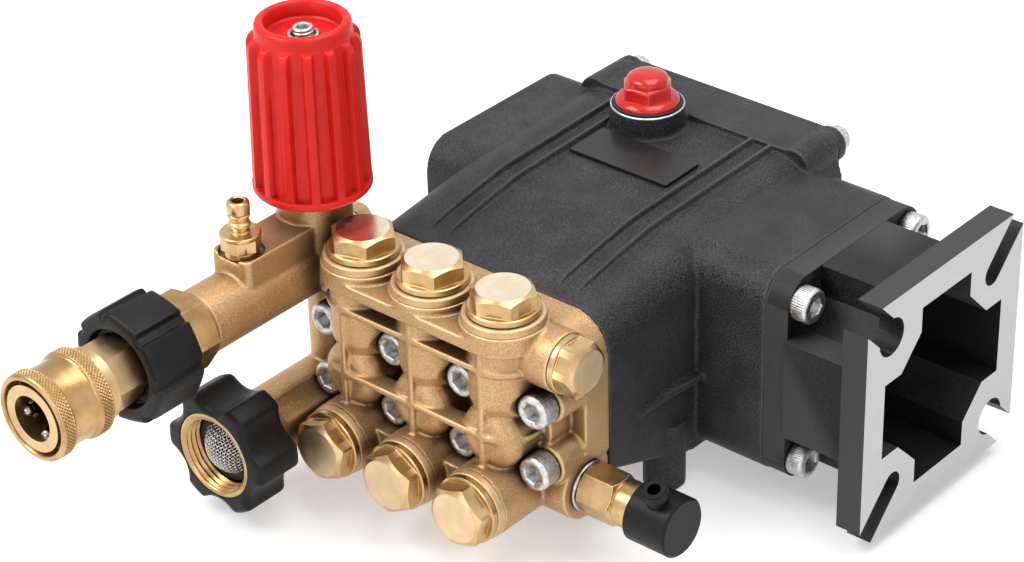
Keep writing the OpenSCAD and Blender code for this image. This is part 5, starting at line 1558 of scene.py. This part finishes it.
@dataclass
class Interior:
    """Inner pieces that keep the frame's own shape and get their finish."""

    def finishes(self) -> Dict[str, Finish]:
        """The finish of each inner node."""
        groups: Tuple[Tuple[Finish, str], ...] = (
            (GASKET, "case_gaskets"), (RUBBER, "shaft_seal oil_seals cap_seals packing_seals"),
            (BRIGHT_BRASS, "packing_rings"), (BALL_STEEL, "bearing_outer_rings bearing_inner_rings"),
            (SHAFT_STEEL, "crankshaft"),
            (VALVE_STEEL, "valve_seats valve_springs unloader_piston unloader_spring"),
            (VALVE_STEEL, "coupler_spring coupler_clip"))
        table = {node: finish for finish, names in groups for node in names.split()}
        lines = (("connecting_rod", ROD_METAL), ("crosshead", SHAFT_STEEL), ("plunger", CERAMIC),
                 ("discharge_poppet", VALVE_STEEL), ("inlet_poppet", VALVE_STEEL))
        table.update({f"{name}_{i}": finish for i in (1, 2, 3) for name, finish in lines})
        return table

    def build(self) -> None:
        """Gives each inner node its finish."""
        for node, finish in self.finishes().items():
            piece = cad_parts[node]
            piece.data.materials.clear()
            piece.data.materials.append(finish.material())
            LOG.info("node %s in %s", node, finish.name)


# ---------------------------------------------------------------- studio


@dataclass
class Studio:
    """Camera, pale floor, soft lamps and a white surround."""

    azimuth: float = 41.29
    elevation: float = 31.13
    roll: float = -1.57
    lens: float = 107.11
    station: Point = (474.25, -765.56, 580.7)
    floor_size: float = 6.0
    floor_steps: int = 24
    floor_gap: float = 0.0006
    floor_tone: float = 0.82
    fill: float = 0.33
    glow: float = 0.42
    aim: Point = (-0.12, -0.1, 0.02)

    def camera(self) -> None:
        """Sets the camera at the fitted viewing angle."""
        a, e, r = (math.radians(v) for v in (self.azimuth, self.elevation, self.roll))
        back = Vector((math.sin(a) * math.cos(e), -math.cos(a) * math.cos(e), math.sin(e)))
        level = Vector((math.cos(a), math.sin(a), 0.0))
        rise = back.cross(level)
        right = level * math.cos(r) + rise * math.sin(r)
        up = rise * math.cos(r) - level * math.sin(r)
        data = bpy.data.cameras.new("camera")
        data.lens, data.sensor_width = self.lens, 36.0
        data.clip_start, data.clip_end = 0.05, 50.0
        view = bpy.data.objects.new("camera", data)
        view.matrix_world = Matrix((
            (right.x, up.x, back.x, self.station[0] * MM), (right.y, up.y, back.y, self.station[1] * MM),
            (right.z, up.z, back.z, self.station[2] * MM), (0, 0, 0, 1)))
        bpy.context.scene.collection.objects.link(view)
        bpy.context.scene.camera = view

    def lamp(self, name: str, at: Point, size: Tuple[float, float], power: float) -> None:
        """Adds a soft box that faces the object.

        Args:
            name: Name of the lamp.
            at: Where it stands, in metres.
            size: Its width and height, in metres.
            power: Its power, in watts.
        """
        data = bpy.data.lights.new(name, "AREA")
        data.shape, data.size, data.size_y = "RECTANGLE", size[0], size[1]
        data.energy = power
        lamp = bpy.data.objects.new(name, data)
        lamp.location = at
        lamp.rotation_euler = (Vector(self.aim) - Vector(at)).to_track_quat("-Z", "Y").to_euler()
        bpy.context.scene.collection.objects.link(lamp)

    def floor(self) -> None:
        """Lays a pale floor that shows white and keeps a soft shadow."""
        level = min(CAD_BOX[0].z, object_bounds()[0].z) - self.floor_gap
        half, steps = self.floor_size / 2, self.floor_steps
        grid = np.linspace(-half, half, steps + 1)
        xs, ys = np.meshgrid(grid, grid, indexing="ij")
        points = np.stack([xs.ravel(), ys.ravel(), np.full(xs.size, level)], 1) / MM
        row = steps + 1
        faces = [[i * row + j, (i + 1) * row + j, (i + 1) * row + j + 1, i * row + j + 1]
                 for i in range(steps) for j in range(steps)]
        floor = mesh_object("studio_floor", points, faces)
        graph = Graph("studio_floor")
        nodes, links = graph.tree.nodes, graph.tree.links
        glow = nodes.new("ShaderNodeEmission")
        glow.inputs["Strength"].default_value = self.glow
        pale = nodes.new("ShaderNodeBsdfDiffuse")
        pale.inputs["Color"].default_value = (*[self.floor_tone] * 3, 1)
        both = nodes.new("ShaderNodeAddShader")
        pick = nodes.new("ShaderNodeMixShader")
        for source, target in ((pale.outputs[0], both.inputs[0]), (glow.outputs[0], both.inputs[1]),
                               (seen_rays(graph.tree), pick.inputs[0]), (pale.outputs[0], pick.inputs[1]),
                               (both.outputs[0], pick.inputs[2]),
                               (pick.outputs[0], nodes["Material Output"].inputs["Surface"])):
            links.new(source, target)
        floor.data.materials.append(graph.mat)
        floor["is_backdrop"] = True

    def surround(self) -> None:
        """Sets a white world for the eye and a dimmer one for the light."""
        world = bpy.data.worlds.new("surround")
        bpy.context.scene.world = world
        world.use_nodes = True
        tree = world.node_tree
        base = tree.nodes["Background"]
        base.inputs["Color"].default_value = (1, 1, 1, 1)
        strength = tree.nodes.new("ShaderNodeMapRange")
        strength.inputs[3].default_value = self.fill
        strength.inputs[4].default_value = 1.0
        tree.links.new(seen_rays(tree), strength.inputs[0])
        tree.links.new(strength.outputs[0], base.inputs["Strength"])

    def build(self) -> None:
        """Sets up the whole studio."""
        scene = bpy.context.scene
        scene.view_settings.view_transform = "Standard"
        self.floor()
        self.surround()
        for name, at, size, power in (("key_box", (-0.75, -0.85, 1.25), (0.8, 0.8), 14.0),
                                      ("top_box", (0.1, 0.15, 1.3), (1.2, 0.8), 11.5),
                                      ("right_box", (1.1, -0.7, 0.55), (0.6, 1.0), 2.4),
                                      ("front_strip", (-0.1, -1.5, 0.45), (0.9, 0.35), 3.4)):
            self.lamp(name, at, size, power)


def main() -> None:
    """Builds every sub-assembly."""
    logging.basicConfig(level=logging.INFO, format="%(message)s")
    studio = Studio()
    studio.camera()
    for kind in (Castings, Fasteners, ValveCaps, PressureKnob, Injector, OutletCoupler, HoseInlet,
                 ThermalValve, OilFittings, Interior):
        kind().build()
        LOG.info("built %s", kind.__name__)
    studio.build()


if __name__ == "__main__":
    main()
